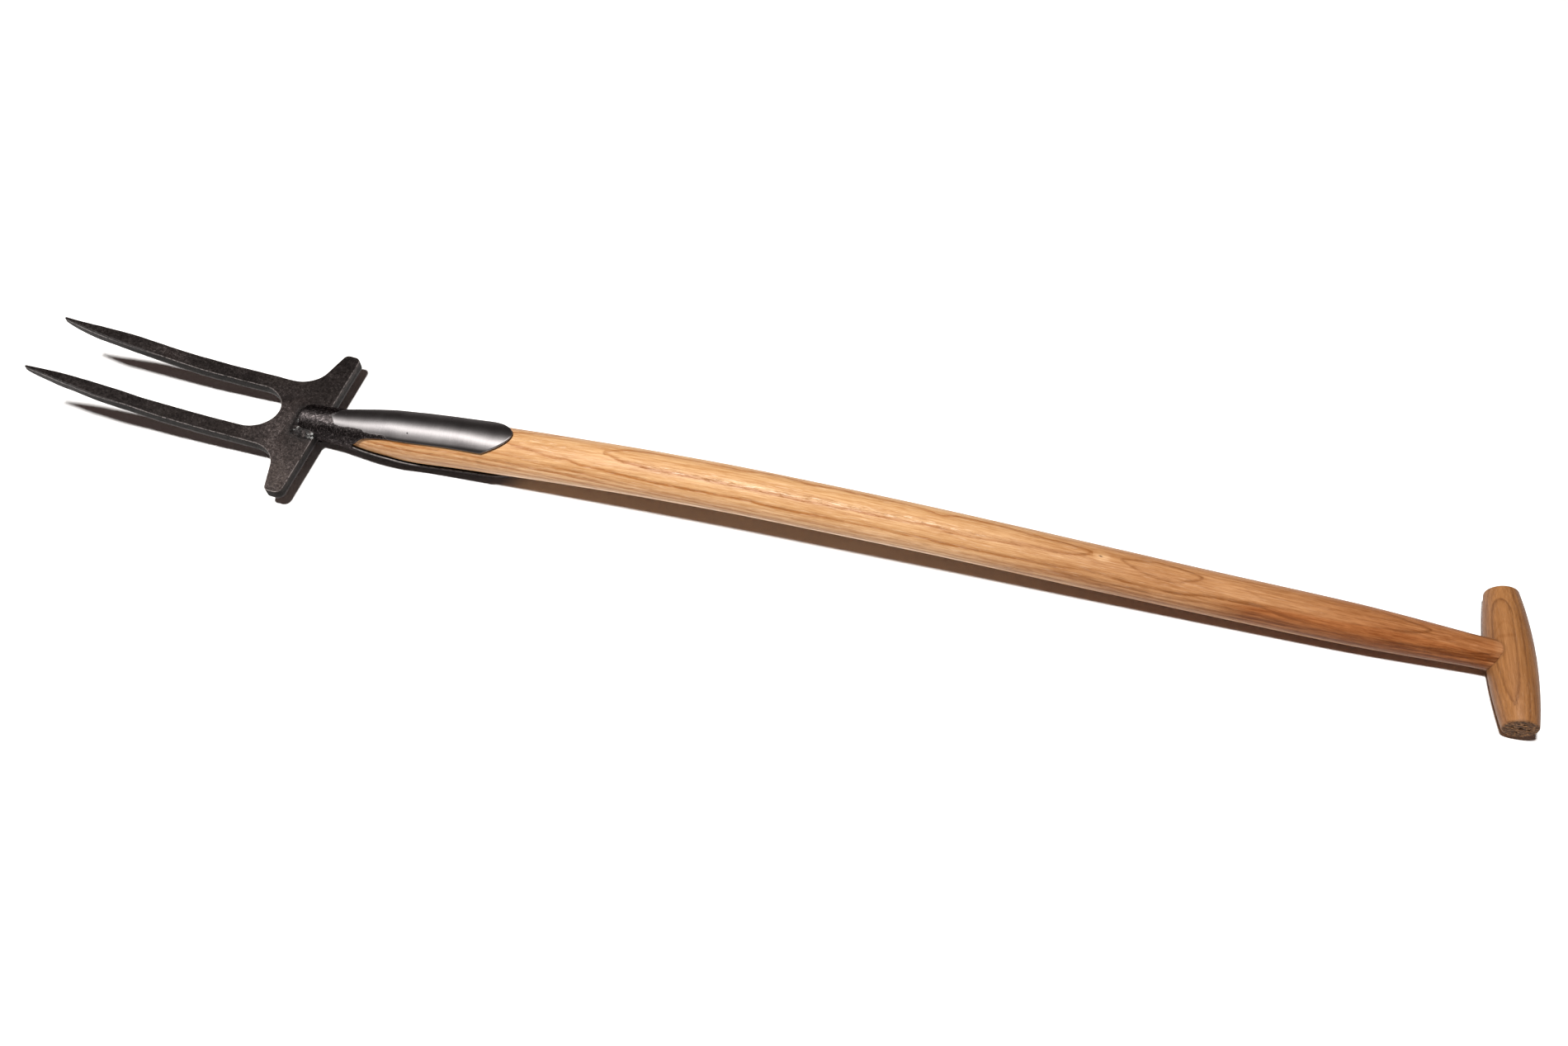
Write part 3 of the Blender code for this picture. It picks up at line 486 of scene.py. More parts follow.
# ---------------------------------------------------------------- wood
class Ash:
    """Oiled ash. Vertices carry "ring" (growth rings counted from the crown of the figure), "slope" (rings for each
    mm of surface), "grain" (metres along and across the fibre) and a few masks."""

    def __init__(self, name, fresh, aged, weights, contrast=1.0, fleck_share=0.18, pore_share=0.60):
        s = self.s = Shader(name)
        grain = s.attr("grain", "Vector")
        ring, slope = s.attr("ring"), s.math("MAXIMUM", s.attr("slope"), 0.008)
        # smoke: darker aged wood, and painted shade on the shaft's underside
        smoke_and_shade = s.attr("smoke_and_shade")
        # the rings wander a little with the fibre
        waver = s.noise(s.scaled(grain, (55, 300, 300)), 1.0, 3, 0.6)
        jag = s.noise(s.scaled(grain, (170, 1500, 1500)), 1.0, 3, 0.65)
        ring = s.add(ring, s.mul(s.add(s.mul(s.math("SUBTRACT", waver, 0.5), 1.1), s.mul(s.math("SUBTRACT", jag, 0.5), 1.8)),
                                 slope))
        index = s.math("FLOOR", ring)
        part = s.math("SUBTRACT", ring, index)
        after = s.math("DIVIDE", part, slope)                      # mm outside the last ring line
        before = s.math("DIVIDE", s.inv(part), slope)              # mm inside the next one
        bold = s.attr("bold")
        wide = s.add(1.0, s.mul(bold, 0.7))

        def weight(number):
            n = len(weights)
            at = s.math("DIVIDE", s.add(number, 0.5), float(n))
            return s.ramp(at, [(k / n, w) for k, w in enumerate(weights)], "CONSTANT")
        w_last, w_next = weight(index), weight(s.add(index, 1.0))
        strong = s.attr("strong")
        w_last, w_next = s.mul(w_last, strong), s.mul(w_next, strong)
        fibre = s.noise(s.scaled(grain, (24, 640, 640)), 1.0, 5, 0.62)
        hair = s.noise(s.scaled(grain, (80, 2400, 2400)), 1.0, 3, 0.6)
        streak = s.fit(s.add(s.mul(fibre, 0.55), s.mul(hair, 0.45)), 0.41, 0.58)
        cloud = s.noise(s.scaled(grain, (13, 110, 110)), 1.0, 3, 0.55)
        mottle = s.noise(s.scaled(grain, (120, 900, 900)), 1.0, 4, 0.65)
        patchy = s.fit(s.noise(s.scaled(grain, (22, 300, 300)), 1.0, 3, 0.6), 0.35, 0.60, 0.50, 1.0)
        # a ring line is crisp outside and fades inwards
        core = s.math("MAXIMUM", s.mul(s.fit(s.math("DIVIDE", after, wide), 0.10, 0.80, 1.0, 0.0), w_last),
                      s.mul(s.fit(s.math("DIVIDE", before, wide), 0.45, 1.80, 1.0, 0.0), w_next))
        halo = s.math("MAXIMUM", s.mul(s.fit(after, 0.1, 1.3, 1.0, 0.0), w_last),
                      s.mul(s.fit(before, 0.4, 4.4, 1.0, 0.0), w_next))
        line = s.mul(core, patchy, s.fit(streak, 0.0, 1.0, 1.0, 0.70, "LINEAR"))
        # pores: short dark dashes, thick at a ring line and sparse elsewhere
        dashes = s.noise(s.scaled(grain, (130, 2000, 2000)), 1.0, 3, 0.6)
        dashes2 = s.noise(s.scaled(grain, (60, 1300, 1300)), 1.0, 2, 0.5)
        pores = s.math("MAXIMUM", s.fit(dashes, 0.56, 0.66), s.mul(s.fit(dashes2, 0.60, 0.69), 0.8))
        cut = s.attr("cut")
        pores = s.mul(pores, s.add(0.16, s.mul(halo, 0.60), s.mul(cut, 0.55)))
        tone = s.add(s.mul(fibre, 0.44), s.mul(hair, 0.24), s.mul(cloud, 0.12), s.mul(mottle, 0.20))
        tone = s.fit(tone, 0.5 - 0.080 / contrast, 0.5 + 0.080 / contrast, 0.0, 1.0, "LINEAR")
        color = s.mix(tone, s.mix(smoke_and_shade, fresh[1], aged[1]), s.mix(smoke_and_shade, fresh[0], aged[0]))
        # the pale mask: painted light on the near flank, and the real pale wood of the knot's eye and at the joint
        pale_mix = s.mix(s.fit(s.attr("pale_and_flank_light"), 0.55, 0.95), (0.66, 0.435, 0.255), (0.86, 0.67, 0.49))
        color = s.mix(s.attr("pale_and_flank_light"), color, s.mix(tone, dimmed(fresh[0], 0.95), pale_mix))
        ink = s.mix(smoke_and_shade, fresh[2], aged[2])
        color = s.mix(s.mul(halo, patchy, s.fit(bold, 0.0, 1.0, 0.46, 0.12)), color, ink)
        color = s.mix(s.mul(line, 0.84), color, ink)
        color = s.mix(s.mul(pores, pore_share), color, s.mix(smoke_and_shade, dimmed(fresh[2], 0.50), dimmed(aged[2], 0.45)))
        # pale flecks, painted as glints of the sheen, strongest in the band marked cut
        fleck_glint = s.mul(s.fit(s.noise(s.scaled(grain, (75, 1250, 1250)), 1.0, 3, 0.6), 0.56, 0.66), s.inv(s.mul(smoke_and_shade, 0.92)))
        color = s.mix(s.mul(fleck_glint, s.add(fleck_share, s.mul(cut, 0.50))), color, (0.74, 0.56, 0.41))
        color = s.mix(s.attr("ink"), color, (0.040, 0.016, 0.008))
        self.color = color
        self.rough = s.add(0.46, s.mul(s.math("SUBTRACT", fibre, 0.5), 0.20), s.mul(pores, 0.2), s.mul(s.attr("pale_and_flank_light"), -0.08))
        height = s.add(s.mul(fibre, 0.20), s.mul(hair, 0.10), s.mul(pores, -0.55), s.mul(line, -0.10), s.mul(mottle, 0.14))
        self.normal = s.bump(height, 0.00026, 0.8)


def dimmed(color, by):
    return tuple(min(1.0, by * c) for c in color)


def ash_material(name, fresh, aged, weights, **looks):
    wood = Ash(name, fresh, aged, weights, **looks)
    s = wood.s
    # cut end grain: open pores, dark, rough, arcs of rings
    here = s.here
    end = s.attr("endgrain")
    rings = s.noise(s.scaled(s.attr("grain", "Vector"), (0, 260, 620)), 1.0, 3, 0.6, 0.6)
    pits = s.cells(here, 1000)
    tear = s.noise(s.scaled(here, (700, 700, 1900)), 1.0, 4, 0.65)
    cut = s.ramp(s.add(s.mul(rings, 0.5), s.mul(tear, 0.5)),
                 [(0.40, (0.014, 0.006, 0.0025)), (0.50, (0.090, 0.040, 0.016)), (0.60, (0.27, 0.138, 0.060))])
    cut = s.mix(s.fit(pits, 0.05, 0.34, 0.85, 0.0), cut, (0.016, 0.007, 0.003))
    color = s.mix(end, wood.color, cut)
    color = s.mix(s.attr("hole"), color, (0.006, 0.004, 0.003))
    rough = s.add(wood.rough, s.mul(end, 0.26))
    normal = s.bump(s.mul(end, s.add(s.mul(tear, 0.9), s.mul(rings, 0.5))), 0.0006, 0.8, wood.normal)
    s.put(s.fit(s.attr("smoke_and_shade"), 0.30, 0.80, 0.20, 0.10), s.bsdf.inputs["Specular IOR Level"])
    return s.set(Base_Color=color, Roughness=rough, Normal=normal)


# ---------------------------------------------------------------- the forged head
NOSE_TOE = [(-347.2, 14.6), (-350.5, 15.4), (-355.0, 15.5), (-360.5, 14.8), (-365.5, 13.2), (-369.2, 10.6), (-370.8, 6.8),
            (-371.0, 2.0), (-370.2, -3.4), (-370.0, -8.6), (-370.4, -12.6), (-368.4, -16.4), (-363.5, -18.4),
            (-357.0, -19.0), (-351.8, -18.6), (-349.2, -17.2), (-348.0, -15.2)]


def fillet(corners, step_mm=0.9):
    out = []
    for i, (x, y, r) in enumerate(corners):
        p = Vector((x, y))
        if i in (0, len(corners) - 1) or r <= 0:
            out.append((x, y))
            continue
        a = (Vector(corners[i - 1][:2]) - p).normalized()
        b = (Vector(corners[i + 1][:2]) - p).normalized()
        half = a.angle(b) / 2
        centre = p + (a + b).normalized() * (r / math.sin(half))
        start = p + a * (r / math.tan(half)) - centre
        end = p + b * (r / math.tan(half)) - centre
        turn = start.angle_signed(end)
        steps = max(6, int(round(abs(turn) * r / step_mm)))
        for k in range(steps + 1):
            q = Matrix.Rotation(-turn * k / steps, 2) @ start + centre
            out.append((q.x, q.y))
    return out


def densify(points, step_mm=1.3):
    out = [points[0]]
    for a, b in zip(points, points[1:]):
        n = max(1, int(math.ceil(math.dist(a, b) / step_mm)))
        for k in range(1, n + 1):
            out.append((a[0] + (b[0] - a[0]) * k / n, a[1] + (b[1] - a[1]) * k / n))
    return out


def head_outline():
    half = fillet([(REAR_X, 0.0, 0), (REAR_X, TREAD_HALF, TREAD_REAR_R), (*TREAD_FRONT, TREAD_FRONT_R),
                   (*TREAD_ROOT, TREAD_FILLET), (PLATE_FLAT_X, TREAD_ROOT[1], 0)])
    half = densify(half)
    length = (CROTCH_X - 1.05 * TINE_INNER[-1][1]) - TIP_X
    s = np.concatenate([np.linspace(1.3, 26, 20), np.arange(27.4, length - 0.7, 1.4), [length]])
    for v in s[::-1]:
        half.append((TIP_X + v, float(tine_outer(v))))
    wide, narrow = float(tine_outer(s[0])), float(tine_inner(s[0]))
    for k in range(1, 6):
        t = math.pi * k / 6
        half.append((TIP_X + s[0] * (1 - math.sin(t)), (wide + narrow) / 2 + (wide - narrow) / 2 * math.cos(t)))
    for v in s:
        half.append((TIP_X + v, float(tine_inner(v))))
    ax, ay = CROTCH_X - (TIP_X + s[-1]), TINE_INNER[-1][1]
    for k in range(1, 27):
        t = math.pi / 2 * k / 26
        half.append((CROTCH_X - ax + ax * math.sin(t), ay * math.cos(t)))
    full = half + [(x, -y) for x, y in reversed(half[1:-1])]
    keep = [full[0]]
    for p in full[1:]:
        if math.dist(p, keep[-1]) > 0.08:
            keep.append(p)
    pts = np.array(keep)
    area = np.sum(pts[:, 0] * np.roll(pts[:, 1], -1) - np.roll(pts[:, 0], -1) * pts[:, 1]) / 2
    return pts if area > 0 else pts[::-1].copy()


def inside_polygon(p, poly):
    x, y = p[:, 0], p[:, 1]
    inside = np.zeros(len(p), bool)
    a, b = poly, np.roll(poly, -1, axis=0)
    for (x1, y1), (x2, y2) in zip(a, b):
        cross = (y1 > y) != (y2 > y)
        inside ^= cross & (x < (x2 - x1) * (y - y1) / (y2 - y1 + 1e-30) + x1)
    return inside


def build_head(material):
    outline = head_outline()
    n = len(outline)
    fwd = np.roll(outline, -1, axis=0) - outline
    fwd /= np.linalg.norm(fwd, axis=1)[:, None]
    out_edge = np.c_[fwd[:, 1], -fwd[:, 0]]
    normal = out_edge + np.roll(out_edge, 1, axis=0)
    normal /= np.linalg.norm(normal, axis=1)[:, None]
    # hand-forged outline: not quite straight
    wob = 0.22 * noise(np.c_[outline / 17.0, np.zeros(n)], 3) + 0.10 * noise(np.c_[outline / 5.0, np.zeros(n)], 4)
    s_tip = outline[:, 0] - TIP_X
    wob *= step(s_tip, 4, 30) * step(REAR_X - outline[:, 0], 0.0, 2.0) * (1 - step(np.abs(outline[:, 1]), 62, 70))
    outline = outline + normal * wob[:, None]
    width = np.where(outline[:, 0] < CROTCH_X - 22, tine_outer(s_tip) - tine_inner(s_tip), 14.0)
    t = plate_t(outline[:, 0])
    e = np.minimum(0.60, 0.10 * width)
    # the points are dressed with a bevel that takes the whole side face at the tip and runs out behind the curve
    share = smooth([(0, 0.94), (26, 0.93), (40, 0.76), (54, 0.52), (68, 0.30), (84, 0.13), (100, 0.09)])(s_tip)
    share = np.where(outline[:, 0] < CROTCH_X - 22, share, 0.09)
    deep = t * share
    lean = np.minimum(np.maximum(0.13 * deep, 0.26 * np.minimum(deep, 1.0)), 0.12 * width)
    extra_lean = np.maximum(lean - 0.22, 0.0)
    top_in, low_out = lean - 0.85 * extra_lean, 0.85 * extra_lean
    broad = 0.45 * step(s_tip, 5, 30) * (1 - step(s_tip, 60, 90))
    top_in, low_out = top_in - broad, low_out + broad
    rings, depth, rim, side, facet = [], [], [], [], []
    on_facet = np.clip((share - 0.11) / 0.2, 0, 1)

    def ring(inset, down, rim_value, side_value, facet_value):
        rings.append(outline - normal * np.asarray(inset)[:, None])
        depth.append(down)
        rim.append(rim_value * np.ones(n))
        side.append(side_value * np.ones(n))
        facet.append(facet_value * np.ones(n))

    z0 = np.zeros(n)
    plain = 1 - on_facet
    # the rim values set the painted highlight along the top edges
    ring(top_in + 1.5 * e, z0, 0.0, 0.0, 0.0)
    ring(top_in + 0.9 * e, z0, 0.15, 0.0, 0.0)
    ring(top_in + 0.30 * e, 0.10 * e, 0.7 * plain, 0.0, 0.0)
    ring(top_in, 0.38 * e, 0.9 * plain, 0.1, 0.0)
    for k, edge_light, bevel in ((0.14, 0.25 * plain, 0.0), (0.27, 1.0 * on_facet, 0.4 * on_facet), (0.36, 0.0, on_facet),
                                 (0.6, 0.0, on_facet), (0.9, 0.0, on_facet)):
        ring(top_in + (-low_out - top_in) * k, 0.38 * e + (deep - 0.38 * e) * k, edge_light, 0.5 * (k > 0.3) * np.ones(n),
             bevel)
    ring(-low_out, np.maximum(deep, 0.40 * e), 0.0, 1.0, 0.35 * on_facet)
    rest = t - np.maximum(deep, 0.4 * e)
    for k in (0.12, 0.4, 0.7):
        ring(-low_out * (1 - 0.6 * k), np.maximum(deep, 0.4 * e) + rest * k, 0.0, 1.0, 0.0)
    # the painted rim highlight is mostly left off the lower rims of the plate and its treads
    worn = 1 - 0.8 * step(outline[:, 0], -408, -392)
    ring(-low_out * 0.4 + 0.12 * e, t - 0.35 * e, 0.4 * worn, 0.6, 0.0)
    ring(0.7 * e, t - 0.05 * e, 0.5 * worn, 0.2, 0.0)
    ring(1.5 * e, t + 0.0, 0.1 * worn, 0.0, 0.0)
    m = len(rings)
    core = rings[0]
    # inner points of the faces
    xs, ys = np.arange(TIP_X, REAR_X, 1.7), np.arange(-TREAD_HALF, TREAD_HALF, 1.7)
    gx, gy = np.meshgrid(xs, ys, indexing="ij")
    gx[:, 1::2] += 0.85
    p = np.c_[gx.ravel(), gy.ravel()]
    p = p + 0.25 * np.c_[noise(np.c_[p, p[:, 0] * 0] * 3.7, 5), noise(np.c_[p, p[:, 0] * 0] * 3.7, 6)]
    p = p[inside_polygon(p, core)]
    far = np.array([np.min(np.hypot(*(core - q).T)) for q in p])
    p = p[far > 0.9]
    flat = [Vector((float(a), float(b))) for a, b in np.r_[core, p]]
    got, _, tris, origin, _, _ = delaunay_2d_cdt(flat, [], [list(range(n))], 1, 1e-6)
    back = [o[0] for o in origin]
    verts, r_rim, r_side, r_facet = [], [], [], []
    for k in range(m):
        z = plate_top(rings[k][:, 0]) - depth[k]
        verts.append(np.c_[rings[k], z])
        r_rim.append(rim[k])
        r_side.append(side[k])
        r_facet.append(facet[k])
    faces = []
    for k in range(m - 1):
        for j in range(n):
            jj = (j + 1) % n
            faces.append((k * n + j, k * n + jj, (k + 1) * n + jj, (k + 1) * n + j)[::-1])
    top0 = m * n
    inner = p
    verts.append(np.c_[inner, plate_top(inner[:, 0])])
    low0 = top0 + len(inner)
    shift = inner[:, 0]
    verts.append(np.c_[inner, plate_top(shift) - plate_t(shift)])
    r_rim += [np.zeros(len(inner)), np.zeros(len(inner))]
    r_side += [np.zeros(len(inner)), np.zeros(len(inner))]
    r_facet += [np.zeros(len(inner)), np.zeros(len(inner))]
    for tri in tris:
        ids = [back[v] for v in tri]
        faces.append([v if v < n else top0 + v - n for v in ids])
        faces.append([(m - 1) * n + v if v < n else low0 + v - n for v in ids][::-1])
    verts = np.concatenate(verts)
    rim_a, side_a, facet_a = np.concatenate(r_rim), np.concatenate(r_side), np.concatenate(r_facet)
    # forged faces are a little uneven; the rings keep their thickness
    lift = 0.16 * fractal(np.c_[verts[:, :2] / 11.0, np.zeros(len(verts))], 21, 3)
    lift += 0.07 * noise(np.c_[verts[:, :2] / 3.1, np.zeros(len(verts))], 25)
    verts[:, 2] += lift * step(verts[:, 0] - TIP_X, 3, 25) - 0.06
    # rubbed patches, one on each tine
    rub = np.zeros(len(verts))
    for cx, cy, rx, ry in ((-430, -27, 26, 7), (-402, 29, 15, 7), (-470, -27, 12, 6), (-362, -60, 20, 22), (-385, 33, 24, 8)):
        rub = np.maximum(rub, np.exp(-((verts[:, 0] - cx) / rx) ** 2 - ((verts[:, 1] - cy) / ry) ** 2))
    # painted shade: near black in the crease along the weld's toe
    toe = resample([(x, y, 0.0) for x, y in NOSE_TOE], 120)[:, :2]
    gap = np.array([np.min(np.hypot(toe[:, 0] - v[0], toe[:, 1] - v[1])) if v[0] > -385 else 99.0 for v in verts])
    weld_toe_shade = np.exp(-(gap / 2.3) ** 2) * (verts[:, 0] < REAR_X + 5)
    weld_toe_shade *= np.clip(0.75 + 0.5 * noise(verts / 2.4, 29), 0, 1)
    # painted shade: darkest on the tines, less of it towards the near tread
    black = 1.15 - 0.95 * step(verts[:, 0], -415, -378) * step(-verts[:, 1], -35, 10)
    black -= 0.45 * np.exp(-((verts[:, 0] + 497) / 16) ** 2 - ((verts[:, 1] - 27) / 9) ** 2)
    # painted light: the upper part of the treads' rear faces is made lighter, more on the far tread
    down = plate_top(verts[:, 0]) - verts[:, 2]
    reach = np.abs(verts[:, 1])
    rear_face_light = (side_a > 0.4) * (verts[:, 0] > REAR_X - 1.2) * step(reach, 12, 18) * (1 - step(reach, 65, 71))
    rear_face_light = rear_face_light * np.where(verts[:, 1] > 0, 1.0, 0.6)
    rear_face_light = rear_face_light * (1 - step(down, 2.4, 4.6))
    ob = make_object("forged_head", verts, faces, material,
                     {"rim": rim_a, "side": side_a, "facet": facet_a, "rub": rub, "weld_toe_shade": weld_toe_shade,
                      "black": np.clip(black, 0, 1.2), "rear_face_light": rear_face_light}, sharp=None)
    recalc(ob)
    return fit_piece(ob, "forged_steel", "fork_head")


# ---------------------------------------------------------------- the straps
def strap_radius(x, fit):
    x = np.asarray(x, float)
    at = shaft_r(SOCKET_X) + fit + STRAP_T
    neck = NECK_R + np.maximum(0.0, (x - SOCKET_X + 12.0) / 12.0) * (at - NECK_R)
    return np.where(x > SOCKET_X, shaft_r(x) + fit + STRAP_T, neck)


def strap_skin(x, v, front):
    """Outer skin of a strap at column x and side v (-1..1); returns points and the wrap angle in degrees."""
    fit = FRONT_FIT if front else REAR_FIT
    blend = np.clip((x + 260.0) / (STRAP_END_X + 260.0), 0.0, 1.0)
    x2 = x - STRAP_OGIVE * np.abs(v) ** 1.9 * blend
    degrees = (front_angle(x2) if front else rear_angle(x2)) * v
    angle = np.radians(degrees)
    r = strap_radius(x2, fit)
    zc = axis_z(x2) + (0.15 if front else -0.15)
    if front:
        # pressed with a slight crown: fuller along the top, flatter down the flanks
        r = r + (0.36 - 0.76 * step(np.abs(degrees), 0, 42)) * step(x2, -318, -275) * (1 - step(x2, -228, -192))
    w, h = r.copy(), r.copy()
    if front:
        over = x2 < REAR_X
        s = np.clip((REAR_X - x2) / (REAR_X - NOSE_X), 0.0, 1.0)
        close = np.sqrt(np.maximum(0.0, 1 - np.clip((s - 0.62) / 0.38, 0, 1) ** 2.6))
        close_w = np.maximum(0.0, 1 - np.clip((s - 0.55) / 0.45, 0, 1) ** 3.2) ** 0.45
        top = plate_top(x2) + 0.05
        w = np.where(over, NECK_R * (1 - 0.20 * s ** 2.0) * (0.10 + 0.90 * close_w), w)
        h = np.where(over, (NECK_R - 0.3) * (1 - 0.26 * s ** 2.0) * close, h)
        t = np.clip((x2 - REAR_X) / (SOCKET_X - REAR_X), 0.0, 1.0)
        between = (x2 >= REAR_X) & (x2 < SOCKET_X)
        zc = np.where(over, top, np.where(between, (plate_top(REAR_X) + 0.05) * (1 - t) + zc * t, zc))
    p = np.stack([x2, w * np.sin(angle), zc + (h if front else -h) * np.cos(angle)], axis=-1)
    return p, degrees


def lengthwise(points):
    """Unit vectors along the socket at the points: the linishing lines run across them, so the sheen spreads so."""
    x = points[:, 0]
    flow = np.c_[np.full(len(x), 2.0), np.zeros(len(x)), axis_z(x + 1.0) - axis_z(x - 1.0)]
    return flow / np.linalg.norm(flow, axis=1)[:, None]


def sheet(name, columns, front, material, slot, nodes, thick=STRAP_T, bulge=0.95, rim_steps=7):
    """Half shell with a rounded rim. columns are x stations; the rows run from side to side."""
    nv = 61
    v = np.linspace(-1, 1, nv)
    v = np.sign(v) * (1 - (1 - np.abs(v)) ** 1.15)
    cols = np.array(columns, float)
    nu = len(cols)
    # leave room for the rim's bulge
    r_here = strap_radius(cols, 0.5)
    half = np.radians(front_angle(cols) if front else rear_angle(cols))
    shrink = 1 - bulge / (r_here * half)
    cols_in = cols.copy()
    cols_in[-1] -= bulge
    if not front:
        cols_in[0] += 0.0
    X, V = np.meshgrid(cols_in, v, indexing="ij")
    V = V * shrink[:, None]
    P, degrees = strap_skin(X, V, front)
    du = np.gradient(P, axis=0)
    dv = np.gradient(P, axis=1)
    N = np.cross(du, dv)
    N /= np.linalg.norm(N, axis=2)[:, :, None] + 1e-12
    # outwards
    mid = N[nu // 2, nv // 2]
    if mid[2] * (1 if front else -1) < 0:
        N = -N
    lean = np.degrees(np.arctan2(-P[:, :, 1], P[:, :, 2] - axis_z(P[:, :, 0])))
    rough = (1 - step(P[:, :, 0] - 0.17 * np.abs(lean - 14), -343, -332)) if front else (1 - step(P[:, :, 0], -330, -318))
    flatp = P.reshape(-1, 3)
    bump = (0.20 * noise(flatp / 4.2, 31) + 0.12 * noise(flatp / 1.9, 32)).reshape(nu, nv)
    wave = (0.10 * noise(flatp / 14.0, 33)).reshape(nu, nv)
    P = P + N * ((bump * rough + wave * (0.35 + 0.65 * rough)))[:, :, None]
    # inner skin
    inner = P - N * (thick - (0.30 if front else 0.0))
    inner[:, :, 2] = np.where((P[:, :, 0] < REAR_X) & front, np.maximum(inner[:, :, 2], plate_top(P[:, :, 0]) - 0.5), inner[:, :, 2])
    # outward direction along the sheet at the border
    T = np.zeros_like(P)
    along = dv / (np.linalg.norm(dv, axis=2)[:, :, None] + 1e-12)
    run = du / (np.linalg.norm(du, axis=2)[:, :, None] + 1e-12)

    def square(vec, edge):
        vec = vec - edge * np.sum(vec * edge, axis=-1, keepdims=True)
        return vec / (np.linalg.norm(vec, axis=-1, keepdims=True) + 1e-12)
    loop = [(i, nv - 1) for i in range(nu)] + [(nu - 1, j) for j in range(nv - 2, -1, -1)] \
        + [(i, 0) for i in range(nu - 2, -1, -1)] + [(0, j) for j in range(1, nv - 1)]
    for i in range(nu):
        T[i, -1] = square(along[i, -1], run[i, -1])
        T[i, 0] = square(-along[i, 0], run[i, 0])
    for j in range(nv):
        T[-1, j] = square(run[-1, j], along[-1, j])
        T[0, j] = square(-run[0, j], along[0, j])
    for c in ((-1, -1), (-1, 0), (0, -1), (0, 0)):
        a = along[c] * (1 if c[1] == -1 else -1)
        b = run[c] * (1 if c[0] == -1 else -1)
        T[c] = (a + b) / np.linalg.norm(a + b)
    verts = [P.reshape(-1, 3)]
    rough_a, ground_a, rim_a = [rough.ravel()], [], []
    cam_side = -degrees if True else degrees
    x = P[:, :, 0]
    phi = np.degrees(np.arctan2(-P[:, :, 1], (P[:, :, 2] - axis_z(x)) * 1.0))
    if front:
        edge = np.interp(x, [-336, -333, -331, -325, -315, -306, -303, -296, -286, -282.8, -281],
                         [5, 19, 31, 35, 32.5, 33.5, 38, 40.5, 39.5, 43, 60])
        ground = step(phi, edge - 4.0, edge + 4.4) * (1 - step(x, -286, -279))
    else:
        ground = (1 - step(x, -318, -306)) * step(phi, 80, 90)
    # painted shade over the top, along the lower border and a little towards the neck, so the sheen keeps to its band
    black = np.zeros((nu, nv))
    if front:
        black = 0.45 * (1 - step(phi, -4, 12)) + 0.95 * step(phi, 38.5, 45.0) + 0.18 * (1 - step(x, -318, -280))
    ground_a.append(ground.ravel())
    rim_a.append(np.zeros(nu * nv))
    black_a = [black.ravel()]
    faces = grid_faces(nu, nv)
    count = nu * nv
    prev = [i * nv + j for i, j in loop]
    base = np.array([P[i, j] for i, j in loop])
    nrm = np.array([N[i, j] for i, j in loop])
    tan = np.array([T[i, j] for i, j in loop])
    inn = np.array([inner[i, j] for i, j in loop])
    lr = np.array([rough[i, j] for i, j in loop])
    lg = np.array([ground[i, j] for i, j in loop])
    lb = np.array([black[i, j] for i, j in loop])
    centre, halft = (base + inn) / 2, (base - inn) / 2
    L = len(loop)
    for k in range(1, rim_steps):
        a = math.pi * k / rim_steps
        pts = centre + halft * math.cos(a) + tan * bulge * math.sin(a)
        verts.append(pts)
        rough_a.append(lr)
        ground_a.append(lg)
        black_a.append(lb)
        rim_a.append(np.full(L, math.sin(a)))
        now = [count + q for q in range(L)]
        for q in range(L):
            qq = (q + 1) % L
            faces.append((prev[q], now[q], now[qq], prev[qq]))
        prev = now
        count += L
    verts.append(inner.reshape(-1, 3))
    rough_a.append(rough.ravel())
    ground_a.append(np.zeros(nu * nv))
    black_a.append(np.zeros(nu * nv))
    rim_a.append(np.zeros(nu * nv))
    last = [count + i * nv + j for i, j in loop]
    for q in range(L):
        qq = (q + 1) % L
        faces.append((prev[q], last[q], last[qq], prev[qq]))
    faces += grid_faces(nu, nv, offset=count, flip=True)
    ob = make_object(name, np.concatenate(verts), faces, material,
                     {"rough": np.concatenate(rough_a), "ground": np.concatenate(ground_a),
                      "rim": np.concatenate(rim_a), "black": np.concatenate(black_a), "flow": lengthwise(np.concatenate(verts))})
    recalc(ob)
    return fit_piece(ob, slot, *nodes)


def build_straps(front_mat, rear_mat):
    cols = np.concatenate([np.linspace(NOSE_X, -349.5, 26), np.arange(-348.6, -300, 0.9), np.arange(-299.5, -190, 1.5),
                           np.linspace(-189.4, STRAP_END_X, 9)])
    sheet("front_strap_sheet", cols, True, front_mat, "pressed_steel", ["front_strap"])
    cols = np.concatenate([np.arange(REAR_X + 0.3, -300, 1.1), np.arange(-299.5, -190, 1.6),
                           np.linspace(-189.4, STRAP_END_X, 9)])
    sheet("rear_strap_sheet", cols, False, rear_mat, "pressed_steel", ["rear_strap"], bulge=0.8)


